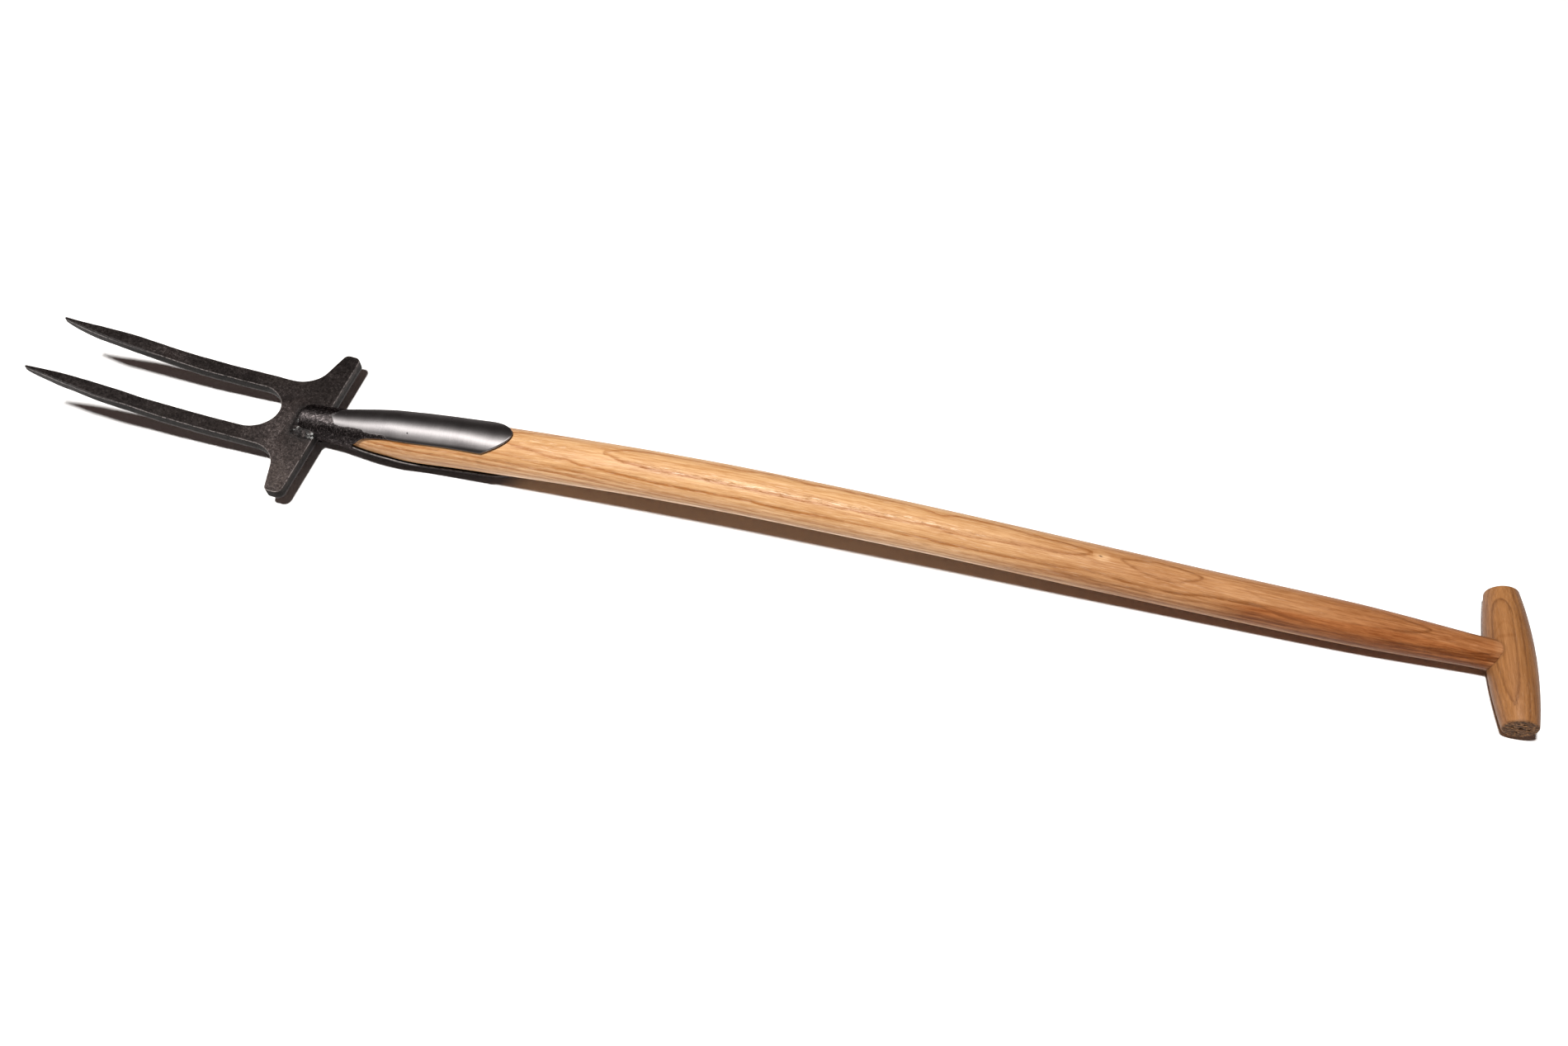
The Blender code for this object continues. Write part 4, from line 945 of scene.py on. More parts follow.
# ---------------------------------------------------------------- welds
def bead(name, toe, root, bulge, material, slot, node, seed, ripple=0.35, painted_glint=None, n=220, m=22, sink=1.0):
    """Lofted weld bead: toe and root are paths (mm), bulge is its height over the chord along the path."""
    toe, root = resample(toe, n), resample(root, n)
    if callable(bulge):
        height = bulge(np.linspace(0, 1, n))
    else:
        height = np.full(n, float(bulge))
    chord = root - toe
    along = np.gradient((toe + root) / 2, axis=0)
    up = np.cross(along, chord)
    up /= np.linalg.norm(up, axis=1)[:, None]
    up = np.where(up[:, 2:3] < 0, -up, up)
    s = np.linspace(0, 1, m)
    prof = np.sin(np.pi * s ** 0.74) ** 0.85
    P = toe[:, None, :] * (1 - s)[None, :, None] + root[:, None, :] * s[None, :, None]
    P = P + up[:, None, :] * (height[:, None] * prof[None, :])[:, :, None]
    flat = P.reshape(-1, 3)
    run = np.r_[0, np.cumsum(np.linalg.norm(np.diff((toe + root) / 2, axis=0), axis=1))]
    wave = np.sin(2 * np.pi * run / 3.9 + 2.6 * noise(np.c_[run / 5, run * 0, run * 0], seed))
    lumps = (0.55 * noise(flat / 3.6, seed + 1) + 0.35 * noise(flat / 1.5, seed + 2)).reshape(n, m)
    amp = np.sin(np.pi * s)[None, :] ** 0.6
    P = P + up[:, None, :] * ((ripple * 0.30 * wave[:, None] + ripple * 1.3 * lumps) * amp)[:, :, None]
    down = -up * sink
    base_root = root + down
    base_toe = toe + down * 0.5
    verts = np.concatenate([P.reshape(-1, 3), base_root, base_toe])
    faces = grid_faces(n, m)
    br, bt = n * m, n * m + n
    for i in range(n - 1):
        faces.append((i * m + m - 1, (i + 1) * m + m - 1, br + i + 1, br + i))
        faces.append((br + i, br + i + 1, bt + i + 1, bt + i))
        faces.append((bt + i, bt + i + 1, (i + 1) * m, i * m))
    for i in (0, n - 1):
        cap = [i * m + j for j in range(m)] + [br + i, bt + i]
        faces.append(cap if i else cap[::-1])
    if painted_glint is None:
        b = np.zeros(len(verts))
    else:
        b = np.clip(painted_glint(verts), 0, 1)
    ob = make_object(name, verts, faces, material, {"painted_glint": b})
    recalc(ob)
    return fit_piece(ob, slot, node)


def build_welds(material):
    def on_plate(pts, lift=0.0):
        return [(x, y, float(plate_top(x)) + lift) for x, y in pts]
    toe = on_plate(NOSE_TOE)
    top = float(plate_top(REAR_X))
    root = [(-347.2, 13.5, top + 0.7), (-350.0, 13.3, top + 2.8), (-354.0, 12.9, top + 4.0), (-358.5, 11.9, top + 4.4),
            (-361.6, 10.0, top + 4.5), (-363.3, 7.2, top + 4.4), (-363.8, 3.4, top + 4.2), (-363.4, -1.6, top + 4.2),
            (-362.6, -6.2, top + 4.5), (-361.4, -9.4, top + 5.0), (-359.0, -11.5, top + 5.6), (-355.4, -12.6, top + 5.8),
            (-351.6, -13.0, top + 5.2), (-348.6, -13.1, top + 3.4), (-347.6, -13.2, top + 1.4)]
    height = smooth([(0, 0.1), (0.15, 0.4), (0.32, 1.1), (0.46, 1.7), (0.56, 1.5), (0.64, 0.5), (0.70, 0.9), (0.80, 0.2),
                     (0.92, 0.1), (1.0, 0.1)])

    def painted_glint(v):
        near = lambda x, y, r: np.exp(-((v[:, 0] - x) ** 2 + (v[:, 1] - y) ** 2) / r ** 2)
        # painted glints: small light spots on the crests and at the near end
        spots = 1.0 * near(-347.4, -13.2, 1.5) + 1.0 * near(-348.6, -14.9, 1.2) + 1.0 * near(-350.2, -17.0, 1.2) \
            + 0.7 * near(-352.8, -16.4, 0.8) + 0.95 * near(-364.9, -3.6, 0.9) + 0.9 * near(-365.3, -5.4, 0.8) \
            + 0.35 * near(-367.5, -15.5, 1.4)
        # a thin painted highlight where the second pass lies over the first
        lip = np.array([(-360.4, -5.3), (-361.2, -8.6), (-362.6, -11.8), (-365.0, -14.6)])
        lip = resample([(a, b, 0.0) for a, b in lip], 40)[:, :2]
        gap = np.min(np.hypot(v[:, None, 0] - lip[None, :, 0], v[:, None, 1] - lip[None, :, 1]), axis=1)
        return np.maximum(spots, 0.42 * np.exp(-(gap / 0.5) ** 2))
    bead("nose_weld_bead", toe, root, height, material, "weld_metal", "nose_weld", 51, 0.34, painted_glint)
    # corner bead under the plate
    z = float(plate_top(REAR_X)) - PLATE_T
    x = REAR_X
    toe = [(x - 4.8, y, z - 0.0) for y in np.linspace(-12, 12, 9)]
    root = [(x + 0.6, y, z - 4.9 + 0.05 * y * y * 0.3) for y in np.linspace(-12, 12, 9)]
    bead("rear_weld_bead", toe, root, 1.0, material, "weld_metal", "rear_weld", 57, 0.3, None, 90, 14, 1.2)


def build_seams(material):
    """Seams of the neck, ground nearly flush: a thin patch over the joint of the two straps."""
    for side, name, node in ((1, "seam_bead_left", "seam_weld_left"), (-1, "seam_bead_right", "seam_weld_right")):
        nu, nv = 70, 40
        xs = np.linspace(-349.0, -315.5, nu)
        a = np.linspace(-1, 1, nv)
        X, A = np.meshgrid(xs, a, indexing="ij")
        half = 17.0 - 6.0 * step(X, -326, -315)
        phi = np.radians(89.0 + half * A)
        r0 = strap_radius(X, 0.5)
        edge = np.minimum(np.minimum((X + 349.6) / 4.0, (-315.0 - X) / 5.0), (1 - np.abs(A)) / 0.35)
        lift = -0.35 + 0.75 * step(edge, 0, 1)
        flat = np.c_[X.ravel(), (A * 9).ravel(), np.full(X.size, side * 4.0)]
        lift = lift + (0.16 * noise(flat / 3.1, 61) + 0.10 * noise(flat / 1.3, 62)).reshape(nu, nv) * step(edge, 0, 1)
        R = r0 + lift
        zc = axis_z(X)
        t = np.clip((X - REAR_X) / (SOCKET_X - REAR_X), 0, 1)
        zc = zc + 0.0 * t
        P = np.stack([X, side * R * np.sin(phi), zc + R * np.cos(phi)], axis=-1)
        Q = np.stack([X, side * (R - 1.2) * np.sin(phi), zc + (R - 1.2) * np.cos(phi)], axis=-1)
        verts = np.concatenate([P.reshape(-1, 3), Q.reshape(-1, 3)])
        faces = grid_faces(nu, nv) + grid_faces(nu, nv, offset=nu * nv, flip=True)
        loop = [(i, nv - 1) for i in range(nu)] + [(nu - 1, j) for j in range(nv - 2, -1, -1)] \
            + [(i, 0) for i in range(nu - 2, -1, -1)] + [(0, j) for j in range(1, nv - 1)]
        ids = [i * nv + j for i, j in loop]
        for q in range(len(ids)):
            a0, b0 = ids[q], ids[(q + 1) % len(ids)]
            faces.append((a0, b0, b0 + nu * nv, a0 + nu * nv))
        ones = np.ones(len(verts))
        ob = make_object(name, verts, faces, material,
                         {"ground": ones, "rough": 0.6 * ones, "rim": 0 * ones, "flow": lengthwise(verts)})
        recalc(ob)
        fit_piece(ob, "weld_metal", node)


# ---------------------------------------------------------------- wood
def grip_radius(y):
    return GRIP_R - GRIP_DROP * (np.abs(y) / GRIP_DROP_Y) ** 2


def count_rings(height, marks):
    """marks: heights (mm, falling) at which a ring line lies; returns rings counted."""
    marks = np.array(marks, float)
    return np.interp(-height, -marks, np.arange(len(marks), dtype=float))


def surface_slope(field, P):
    """Change of the field for each mm of surface, on a grid of points."""
    fu, fv = np.gradient(field, axis=0), np.gradient(field, axis=1)
    du, dv = np.gradient(P, axis=0), np.gradient(P, axis=1)
    E, F, G = (du * du).sum(2), (du * dv).sum(2), (dv * dv).sum(2)
    det = np.maximum(E * G - F * F, 1e-9)
    return np.sqrt(np.maximum((G * fu * fu - 2 * F * fu * fv + E * fv * fv) / det, 0))


# growth rings on the shaft: angles (degrees from the top towards -Y) of the ring lines at stations of X.
# Ring 1 closes in long ovals along the top; the others run down the near flank, and mirrored down the far one.
SHAFT_WEIGHTS = [0.25, 1.0, 1.0, 0.85, 1.0, 1.0, 0.7, 0.8, 0.6, 0.8, 0.7, 0.8]
# half widths of the ovals (degrees); negative where ring 1 has run out of the wood
OVAL_LOW = [(-331, -5), (-200, -6), (-180, -12), (-150, -21), (-125, -26), (-113, -17), (-108.5, -7), (-106, 1.5), (-103, 5.5), (-98.5, 10),
            (-92, 15.5), (-80, 20.5), (-70, 22.5), (-60, 23.5), (-40, 24), (0, 25.5), (20, 27),
            (50, 28), (75, 28), (83, 25.5), (100, 28), (130, 28), (140, 24.5), (150, 27), (160, 30), (175, 28), (190, 25),
            (200, 23), (215, 20), (230, 19), (240, 18), (250, 14), (256, 8.5), (259.5, 2), (263, -16), (271, -24), (279, -16), (282, 2),
            (283.5, 6), (286, 10), (290, 15), (300, 23), (310, 26), (320, 26), (325, 23.5), (330, 18), (335, 13), (339, 5), (340.5, -3),
            (348, -20), (362, -20), (370, -4), (372, 4), (376, 12), (385, 20), (400, 27), (430, 30), (460, 29), (480, 25), (490, 19),
            (497, 12), (500, 5), (501.5, -3), (512, -24), (530, -30), (560, -14)]
OVAL_TOP = [(-331, -5), (-200, -6), (-180, -12), (-150, -21), (-125, -26), (-113, -17), (-108.5, -7), (-106, 1.5), (-103, 6), (-98.5, 12),
            (-90, 22), (-80, 25), (-60, 26), (-20, 26), (0, 24), (14, 29),
            (30, 31), (42, 28), (52, 22), (60, 25), (75, 28), (85, 24), (110, 24), (130, 20), (140, 17), (150, 10.5), (158, 17), (165, 21),
            (190, 20.5), (200, 20), (215, 15), (230, 10.5), (240, 10), (250, 7), (256, 4.5), (259.5, 1.5), (263, -16), (271, -24),
            (279, -16), (282, 1.5), (283.5, 4), (286, 5.5), (290, 8), (300, 13), (310, 17), (320, 16.5), (328, 12), (331, 9.5), (335, 6.5),
            (339, 3), (340.5, -3), (348, -20), (362, -20), (370, -4), (372, 3), (376, 6), (385, 10), (400, 18), (430, 24), (460, 24),
            (475, 20.5), (485, 15), (495, 7.5), (500, 3), (501.5, -3), (512, -24), (530, -30), (560, -14)]
RING_LOW = [
    [(-331, 6), (-200, 8), (-190, 11), (-180, 17), (-160, 24.5), (-140, 35), (-120, 40), (-100, 45), (-80, 50), (-60, 54), (-30, 55),
     (8, 53.5), (20, 57.5), (100, 57), (120, 58), (140, 56), (152, 59), (190, 59), (215, 56), (235, 55), (248, 49), (262, 46),
     (280, 52), (300, 56), (322, 55), (335, 50), (345, 44.5), (362, 41), (380, 40), (400, 53), (440, 62.5), (470, 62), (485, 60.5),
     (500, 56.5), (515, 51), (530, 44), (545, 30), (560, 18)],
    [(-331, 30), (-200, 44), (-190, 46), (-160, 52), (-140, 56), (-120, 61), (-100, 66), (-80, 72), (-60, 77), (-20, 79), (190, 79),
     (220, 77), (240, 71), (252, 68), (270, 70), (290, 69), (310, 72), (330, 69), (350, 63), (380, 66), (440, 70), (480, 67.5),
     (500, 63), (520, 57), (545, 46), (560, 40)],
    [(-331, 48), (-200, 61.5), (-190, 63), (-160, 67), (-140, 70), (-120, 75), (-100, 79), (-80, 83), (-60, 86), (-40, 88), (-20, 90),
     (0, 94), (80, 95), (120, 90), (150, 88), (190, 91), (215, 87), (235, 80), (250, 77), (270, 80), (300, 84), (330, 84), (380, 79),
     (440, 80), (460, 78), (480, 75), (500, 71), (520, 66), (545, 58), (560, 54)],
    [(-331, 60), (-200, 75), (-190, 76), (-160, 82), (-140, 87), (-120, 91), (-100, 94), (-60, 100), (0, 104), (190, 102),
     (230, 98), (250, 95), (280, 93), (300, 97), (330, 95), (380, 93), (440, 94), (470, 91), (500, 88), (520, 86), (545, 82), (560, 80)],
]
RING_TOP = [(-331, 10), (-200, 10), (-190, 13), (-180, 20), (-160, 31), (-140, 42), (-120, 51), (-100, 59), (-70, 63), (240, 63),
            (265, 50), (300, 62), (340, 52), (380, 50), (440, 60), (500, 54), (545, 36), (560, 24)]


def ring_field(X, deg):
    """Rings counted over the shaft's skin: a parabola between the first two lines of each side, straight beyond."""
    oval_low, oval_top = smooth([(x, w * 1.09) for x, w in OVAL_LOW]), smooth(OVAL_TOP)
    low, top = [smooth(r) for r in RING_LOW], smooth(RING_TOP)
    out = np.zeros_like(X)
    for i in range(X.shape[0]):
        # a column runs along the fibre by less than 0.1 mm, except at the coped end
        x = float(np.clip(np.median(X[i]), -331, 556))
        first = (float(low[0](x)) + 2.2, float(top(x)))
        share = [float(f(x)) / w for f, w in zip((oval_low, oval_top), first)]
        open_here = share[0] <= 0.02 or share[1] <= 0.02
        logs = [math.log(min(max(abs(v), 0.02), 0.97)) for v in share]
        q = math.exp(logs[0] + logs[1])
        crown = 1.0 + q if open_here else 1.0 - q / (1.0 - q)
        for k in (0, 1):
            pick = (deg[i] < 0) if k else (deg[i] >= 0)
            phi = np.abs(deg[i][pick])
            if k:
                lines = [first[1] + d for d in (0, 17, 30, 41, 55, 68, 84, 103)]
            else:
                lines = [float(f(x)) + 2.2 for f in low]
                lines += [lines[3] + d for d in (12, 25, 40, 58)]
            power = 2.0 if open_here else min(max((logs[0] + logs[1]) / logs[k], 1.3), 3.2)
            knots = [0.0] + [ln for ln in lines if ln < 177.0] + [180.0]
            values = [0.0] + [2.0 + j for j in range(len(knots) - 2)]
            values.append(10.55)
            ring = np.interp(phi, knots, values)
            inner = crown + (2.0 - crown) * (phi / first[k]) ** power
            out[i][pick] = np.where(phi < first[k], inner, ring)
    return out


def build_shaft(material):
    na = 180
    xs = np.concatenate([np.arange(SOCKET_X, -285, 1.5), np.arange(-285, 520, 2.0), np.arange(520, 552.01, 1.0)])
    phi = np.linspace(0, 2 * np.pi, na, endpoint=False)          # from the top towards -Y
    X, A = np.meshgrid(xs, phi, indexing="ij")
    R = shaft_r(X)
    # spokeshaved: a little out of round
    flat = np.c_[X.ravel() / 60, np.cos(A).ravel() * 1.4, np.sin(A).ravel() * 1.4]
    R = R + 0.10 * noise(flat, 71).reshape(X.shape) * step(X, -180, -150) - 0.05
    Y, Z = -R * np.sin(A), axis_z(X) + R * np.cos(A)
    # the end is coped to the barrel
    first = xs.size
    for _ in range(3):
        reach = np.sqrt(np.maximum((grip_radius(Y[-1]) + 0.12) ** 2 - (Z[-1] - GRIP_R) ** 2, 1.0))
        end = GRIP_X - reach
        k0 = 24
        base = xs[-k0 - 1]
        for k in range(k0):
            f = (k + 1) / k0
            X[-k0 + k] = base + (end - base) * f
        R2 = shaft_r(X[-k0:]) - 0.05
        Y[-k0:] = -R2 * np.sin(A[-k0:])
        Z[-k0:] = axis_z(X[-k0:]) + R2 * np.cos(A[-k0:])
    P = np.stack([X, Y, Z], axis=-1)
    deg = np.degrees(A)
    deg = np.where(deg > 180, deg - 360, deg)
    ring = ring_field(X, deg)
    # flame figure below the strap's point
    flame = step(X, -215, -175) * (1 - step(X, -125, -108)) * (1 - step(np.abs(deg), 45, 65))
    ring = ring + flame * 0.16 * noise(np.c_[X.ravel() / 15, deg.ravel() / 12, X.ravel() * 0 + 5], 75).reshape(X.shape)
    Pw = np.concatenate([P[:, -1:], P, P[:, :1]], axis=1)
    rw = np.concatenate([ring[:, -1:], ring, ring[:, :1]], axis=1)
    slope = surface_slope(rw, Pw)[:, 1:-1]
    # the lines wander a little, by the same few tenths of a millimetre everywhere
    wander = noise(np.c_[X.ravel() / 16, np.cos(A).ravel() * 3, np.sin(A).ravel() * 3], 73).reshape(X.shape)
    ring = ring + wander * np.minimum(0.05, 0.6 * slope)
    second = smooth(RING_LOW[1])(X)
    strong = (1.0 - 0.15 * flame) * (1 - 0.12 * step(deg, 68, 84) * (1 - step(X, 150, 235)))
    strong *= 1 - 0.20 * np.exp(-((deg - second) / 7.0) ** 2) * (1 - step(X, 190, 240))
    strong *= 1 - 0.80 * step(X, 345, 362) * (1 - step(X, 466, 484)) * (1 - step(np.abs(deg), 32, 42))
    strong *= 1 - 0.60 * step(X, 378, 390) * (1 - step(X, 455, 475)) * step(deg, 32, 40) * (1 - step(deg, 64, 69))
    strong *= 1 - 0.30 * step(X, 225, 285) * (1 - step(np.abs(deg), 30, 38))
    bold = step(deg, 62, 84) * (1 - step(deg, 128, 150)) * (0.55 + 0.45 * step(X, -60, 220))
    # bands along the top where the sheen lies: painted glints as pale flecks, and more open pores
    cut = np.exp(-((deg - 19) / 6.5) ** 2) * step(X, -92, -62) * (1 - step(X, 140, 215))
    cut = np.maximum(cut, 0.7 * np.exp(-((deg - 4) / 11) ** 2) * step(X, -190, -176) * (1 - step(X, -150, -120)))
    seam = np.hypot(X - GRIP_X, Z - GRIP_R) - grip_radius(Y)
    # painted light: the near flank lighter than the top, and a lighter band low on the near side that ends before the
    # underside
    pale_and_flank_light = 0.36 * step(deg, 56, 82) * (1 - 0.75 * step(X, 110, 260)) + 0.64 * step(deg, 99, 110) * (1 - 0.75 * step(X, 110, 330))
    pale_and_flank_light = pale_and_flank_light * (1 - step(deg, 118, 142))
    pale_and_flank_light = pale_and_flank_light * (1 - 0.9 * step(X, 380, 470) * (1 - step(deg, 92, 106))) * (0.15 + 0.85 * step(X, -225, -170))
    pale_and_flank_light = np.maximum(pale_and_flank_light, 0.10 * (1 - step(seam, 1.5, 6.0)) * (X > 500))
    ink = 0.26 * (1 - step(seam, 0.12, 0.60)) * (X > 500)
    # a pin knot with a pale eye
    arc = np.radians(deg - 5.0) * R
    knot = np.hypot((X - 267.7) / 1.25, arc)
    ink = np.maximum(ink, 0.95 * (1 - step(knot, 0.55, 0.95)))
    pale_and_flank_light = np.maximum(pale_and_flank_light, 0.45 * (1 - step(knot, 1.2, 6.5)))
    flank = step(deg, 26, 58) * (1 - step(deg, 92, 115))
    smoke_and_shade = 0.52 * step(X, 120, 330) + 0.34 * step(X, 350, 480)
    smoke_and_shade = smoke_and_shade + flank * (0.04 + 0.02 * step(X, 110, 260) + 0.62 * step(X, 340, 400) - 0.10 * step(X, 490, 540))
    # painted shade: the underside darker and redder
    smoke_and_shade = smoke_and_shade + 0.30 * step(np.abs(deg), 120, 150)
    smoke_and_shade = smoke_and_shade + 0.05 * noise(np.c_[X.ravel() / 60, deg.ravel() / 30, X.ravel() * 0], 77).reshape(X.shape)
    smoke_and_shade = np.clip(smoke_and_shade, 0, 1)
    grain = np.stack([X, Y + 40.0, Z - axis_z(X) + 40.0], axis=-1) * MM
    nu, nv = X.shape
    verts = P.reshape(-1, 3)
    faces = grid_faces(nu, nv, wrap_v=True)
    attrs = {"ring": ring.ravel(), "slope": slope.ravel(), "strong": strong.ravel(), "bold": bold.ravel(), "pale_and_flank_light": pale_and_flank_light.ravel(),
             "cut": cut.ravel(), "ink": ink.ravel(), "smoke_and_shade": smoke_and_shade.ravel(), "grain": grain.reshape(-1, 3),
             "endgrain": np.zeros(nu * nv), "hole": np.zeros(nu * nv)}

    def extra(points, closing, endgrain=1.0):
        nonlocal verts
        start = len(verts)
        verts = np.concatenate([verts, points])
        k = len(points)
        for key, values in attrs.items():
            if key == "grain":
                add = np.c_[points[:, 0], points[:, 1] + 40, points[:, 2] + 40] * MM
            else:
                fill = {"slope": 0.5, "endgrain": endgrain, "ring": 0.0}.get(key, 0.0)
                add = np.full(k, fill)
                if key == "ring":
                    add = points[:, 2] * 0.45
            attrs[key] = np.concatenate([values, add])
        faces.extend(closing(start))
    # plain flat end inside the socket
    extra(np.array([[SOCKET_X, 0, float(axis_z(SOCKET_X))]]),
          lambda s0: [(s0, (j + 1) % nv, j) for j in range(nv)])
    # the coped end follows the barrel: rings of points drawn in to its middle
    rows, last = 10, (nu - 1) * nv
    pts = []
    for k in range(1, rows + 1):
        f = 1 - k / (rows + 0.0)
        yy, zz = Y[-1] * f, GRIP_R + (Z[-1] - GRIP_R) * f
        xx = GRIP_X - np.sqrt(np.maximum((grip_radius(yy) + 0.12) ** 2 - (zz - GRIP_R) ** 2, 0))
        pts.append(np.c_[xx, yy, zz])
    tip = pts.pop()[:1]

    def close(s0):
        out, prev = [], last
        for k in range(rows - 1):
            now = s0 + k * nv
            for j in range(nv):
                jj = (j + 1) % nv
                out.append((prev + j, now + j, now + jj, prev + jj))
            prev = now
        centre = s0 + (rows - 1) * nv
        for j in range(nv):
            out.append((prev + j, centre, prev + (j + 1) % nv))
        return out
    extra(np.concatenate(pts + [tip]), close)
    # the tenon: its far end is dressed flush with the outside of the grip
    nt, rr = 72, 9
    th = np.linspace(0, 2 * np.pi, nt, endpoint=False)
    rows_t = []
    for k in range(10):
        rows_t.append((TENON_R, GRIP_X - 16 + k * 3.0, None))
    pts = [np.c_[np.full(nt, x0), r0 * np.sin(th), GRIP_R + r0 * np.cos(th)] for r0, x0, _ in rows_t]
    for k in range(rr + 1):
        r0 = TENON_R * (1 - k / rr) if k else TENON_R
        yy, zz = r0 * np.sin(th), GRIP_R + r0 * np.cos(th)
        xx = GRIP_X + np.sqrt(grip_radius(yy) ** 2 - (zz - GRIP_R) ** 2) + 0.06 * np.cos(yy * 1.7)
        pts.append(np.c_[xx, yy, zz])
    tip = pts.pop()[:1]
    rows_n = len(pts)

    def close_tenon(s0):
        out = grid_faces(rows_n, nt, wrap_v=True, offset=s0)
        centre = s0 + rows_n * nt
        for j in range(nt):
            out.append((s0 + (rows_n - 1) * nt + j, centre, s0 + (rows_n - 1) * nt + (j + 1) % nt))
        out.append(tuple(s0 + j for j in range(nt)))
        return out
    extra(np.concatenate(pts + [tip]), close_tenon, 0.75)
    ob = make_object("ash_shaft", verts, faces, material, attrs, sharp=50)
    recalc(ob)
    return fit_piece(ob, "ash_shaft", "shaft")


OVAL = [(-60, -22), (-50, -12), (-42.7, 0), (-41, 6), (-38, 10), (-30, 17), (-20, 22), (-10, 26), (10, 27.5), (25, 27), (35, 24),
        (40, 17), (42.5, 9), (43.4, 0), (50, -14), (60, -24)]


def build_grip(material):
    oval = smooth(OVAL)
    na = 160
    edge = 1.5
    rows = np.concatenate([np.linspace(-GRIP_HALF + edge, GRIP_HALF - edge, 120)])
    th = np.linspace(0, 2 * np.pi, na, endpoint=False)          # from the top towards +X
    profile = []                                               # (y, radius, on end face)
    for k in range(6):
        a = math.pi / 2 * (1 - k / 6.0)
        profile.append((-GRIP_HALF + edge - edge * math.sin(a), None, a))
    Y, Rr, end = [], [], []
    rim_r = float(grip_radius(GRIP_HALF - edge)) - edge
    disc = np.linspace(0.35, rim_r, 26)
    for r in disc:
        Y.append(-GRIP_HALF); Rr.append(r); end.append(1.0)
    for k in range(1, 6):
        a = math.pi / 2 * k / 6.0
        Y.append(-GRIP_HALF + edge * (1 - math.cos(a))); Rr.append(rim_r + edge * math.sin(a)); end.append(1 - 0.9 * k / 6)
    for y in rows:
        Y.append(y); Rr.append(float(grip_radius(y))); end.append(0.0)
    for k in range(5, 0, -1):
        a = math.pi / 2 * k / 6.0
        Y.append(GRIP_HALF - edge * (1 - math.cos(a))); Rr.append(rim_r + edge * math.sin(a)); end.append(1 - 0.9 * k / 6)
    for r in disc[::-1]:
        Y.append(GRIP_HALF); Rr.append(r); end.append(1.0)
    Y, Rr, end = np.array(Y), np.array(Rr), np.array(end)
    nu = len(Y)
    YY = np.repeat(Y[:, None], na, 1)
    RR = np.repeat(Rr[:, None], na, 1)
    TH = np.repeat(th[None, :], nu, 0)
    EE = np.repeat(end[:, None], na, 1)
    body = EE < 0.05
    flat = np.c_[YY.ravel() / 22, np.cos(TH).ravel(), np.sin(TH).ravel()]
    RR = RR + np.where(body, 0.07 * noise(flat, 81).reshape(RR.shape), 0.0)
    X = GRIP_X + RR * np.sin(TH)
    Z = GRIP_R + RR * np.cos(TH)
    hole = np.zeros_like(X)
    # marks of the lathe's centres in the end faces
    pits = [(-1, 0.2, 0.0, 1.15, 2.6), (-1, 0.5, 5.3, 1.05, 1.6), (-1, -5.2, -0.1, 0.95, 1.3), (-1, 5.3, 0.3, 0.95, 1.4),
            (-1, -0.4, -5.2, 0.9, 1.1), (1, 0.0, 0.0, 1.7, 2.8)]
    for sgn, dx, dz, r, deep in pits:
        on = (np.sign(YY) == sgn) & (np.abs(YY) > GRIP_HALF - 0.01)
        d = np.hypot((X - GRIP_X - dx) * (1.0 if abs(dx) < 1 else 0.8), (Z - GRIP_R - dz) * 1.0) / (1.3 * r)
        cut = np.where(on, 1 - step(d, 0.45, 1.05), 0.0)
        hole = np.maximum(hole, cut)
        YY = YY - sgn * cut * deep
    rough_end = np.where(EE > 0.9, 1.0, 0.0)
    tear = noise(np.c_[X.ravel() / 1.3, Z.ravel() / 0.5, YY.ravel() * 0], 83).reshape(X.shape)
    YY = YY - np.sign(YY) * rough_end * (0.18 + 0.16 * tear)
    P = np.stack([X, YY, Z], axis=-1)
    deg = np.degrees(TH)
    deg = np.where(deg > 180, deg - 360, deg)
    centre = np.interp(YY, [-56, -43, -10, 15, 43, 56], [-35, -34.6, -37.5, -37, -35.4, -30])
    a = np.radians(deg - centre)
    w = oval(YY)
    lift = np.where(w >= 0, np.cos(np.radians(np.abs(w))), 1 + (1 - np.cos(np.radians(np.abs(w)))))
    # at the end faces the planes of the rings simply go on through the wood
    radial = np.where(EE > 0.02, RR, grip_radius(YY))
    field = radial * np.cos(a) - grip_radius(YY) * lift
    field = field + 0.12 * noise(np.c_[YY.ravel() / 15, np.cos(TH).ravel() * 2, np.sin(TH).ravel() * 2], 85).reshape(X.shape)
    marks = [6.0, 0.0, -1.35, -3.2, -4.6, -6.1, -7.4, -9.0, -10.7, -12.6, -14.3, -16.2, -18.0, -20.2, -22.4, -24.8, -27.2, -30.0, -33.0]
    ring = count_rings(field, marks)
    Pw = np.concatenate([P[:, -1:], P, P[:, :1]], axis=1)
    rw = np.concatenate([ring[:, -1:], ring, ring[:, :1]], axis=1)
    slope = surface_slope(rw, Pw)[:, 1:-1]
    slope = np.where(EE > 0.02, 0.55, slope)
    strong = np.full(field.shape, 0.85)
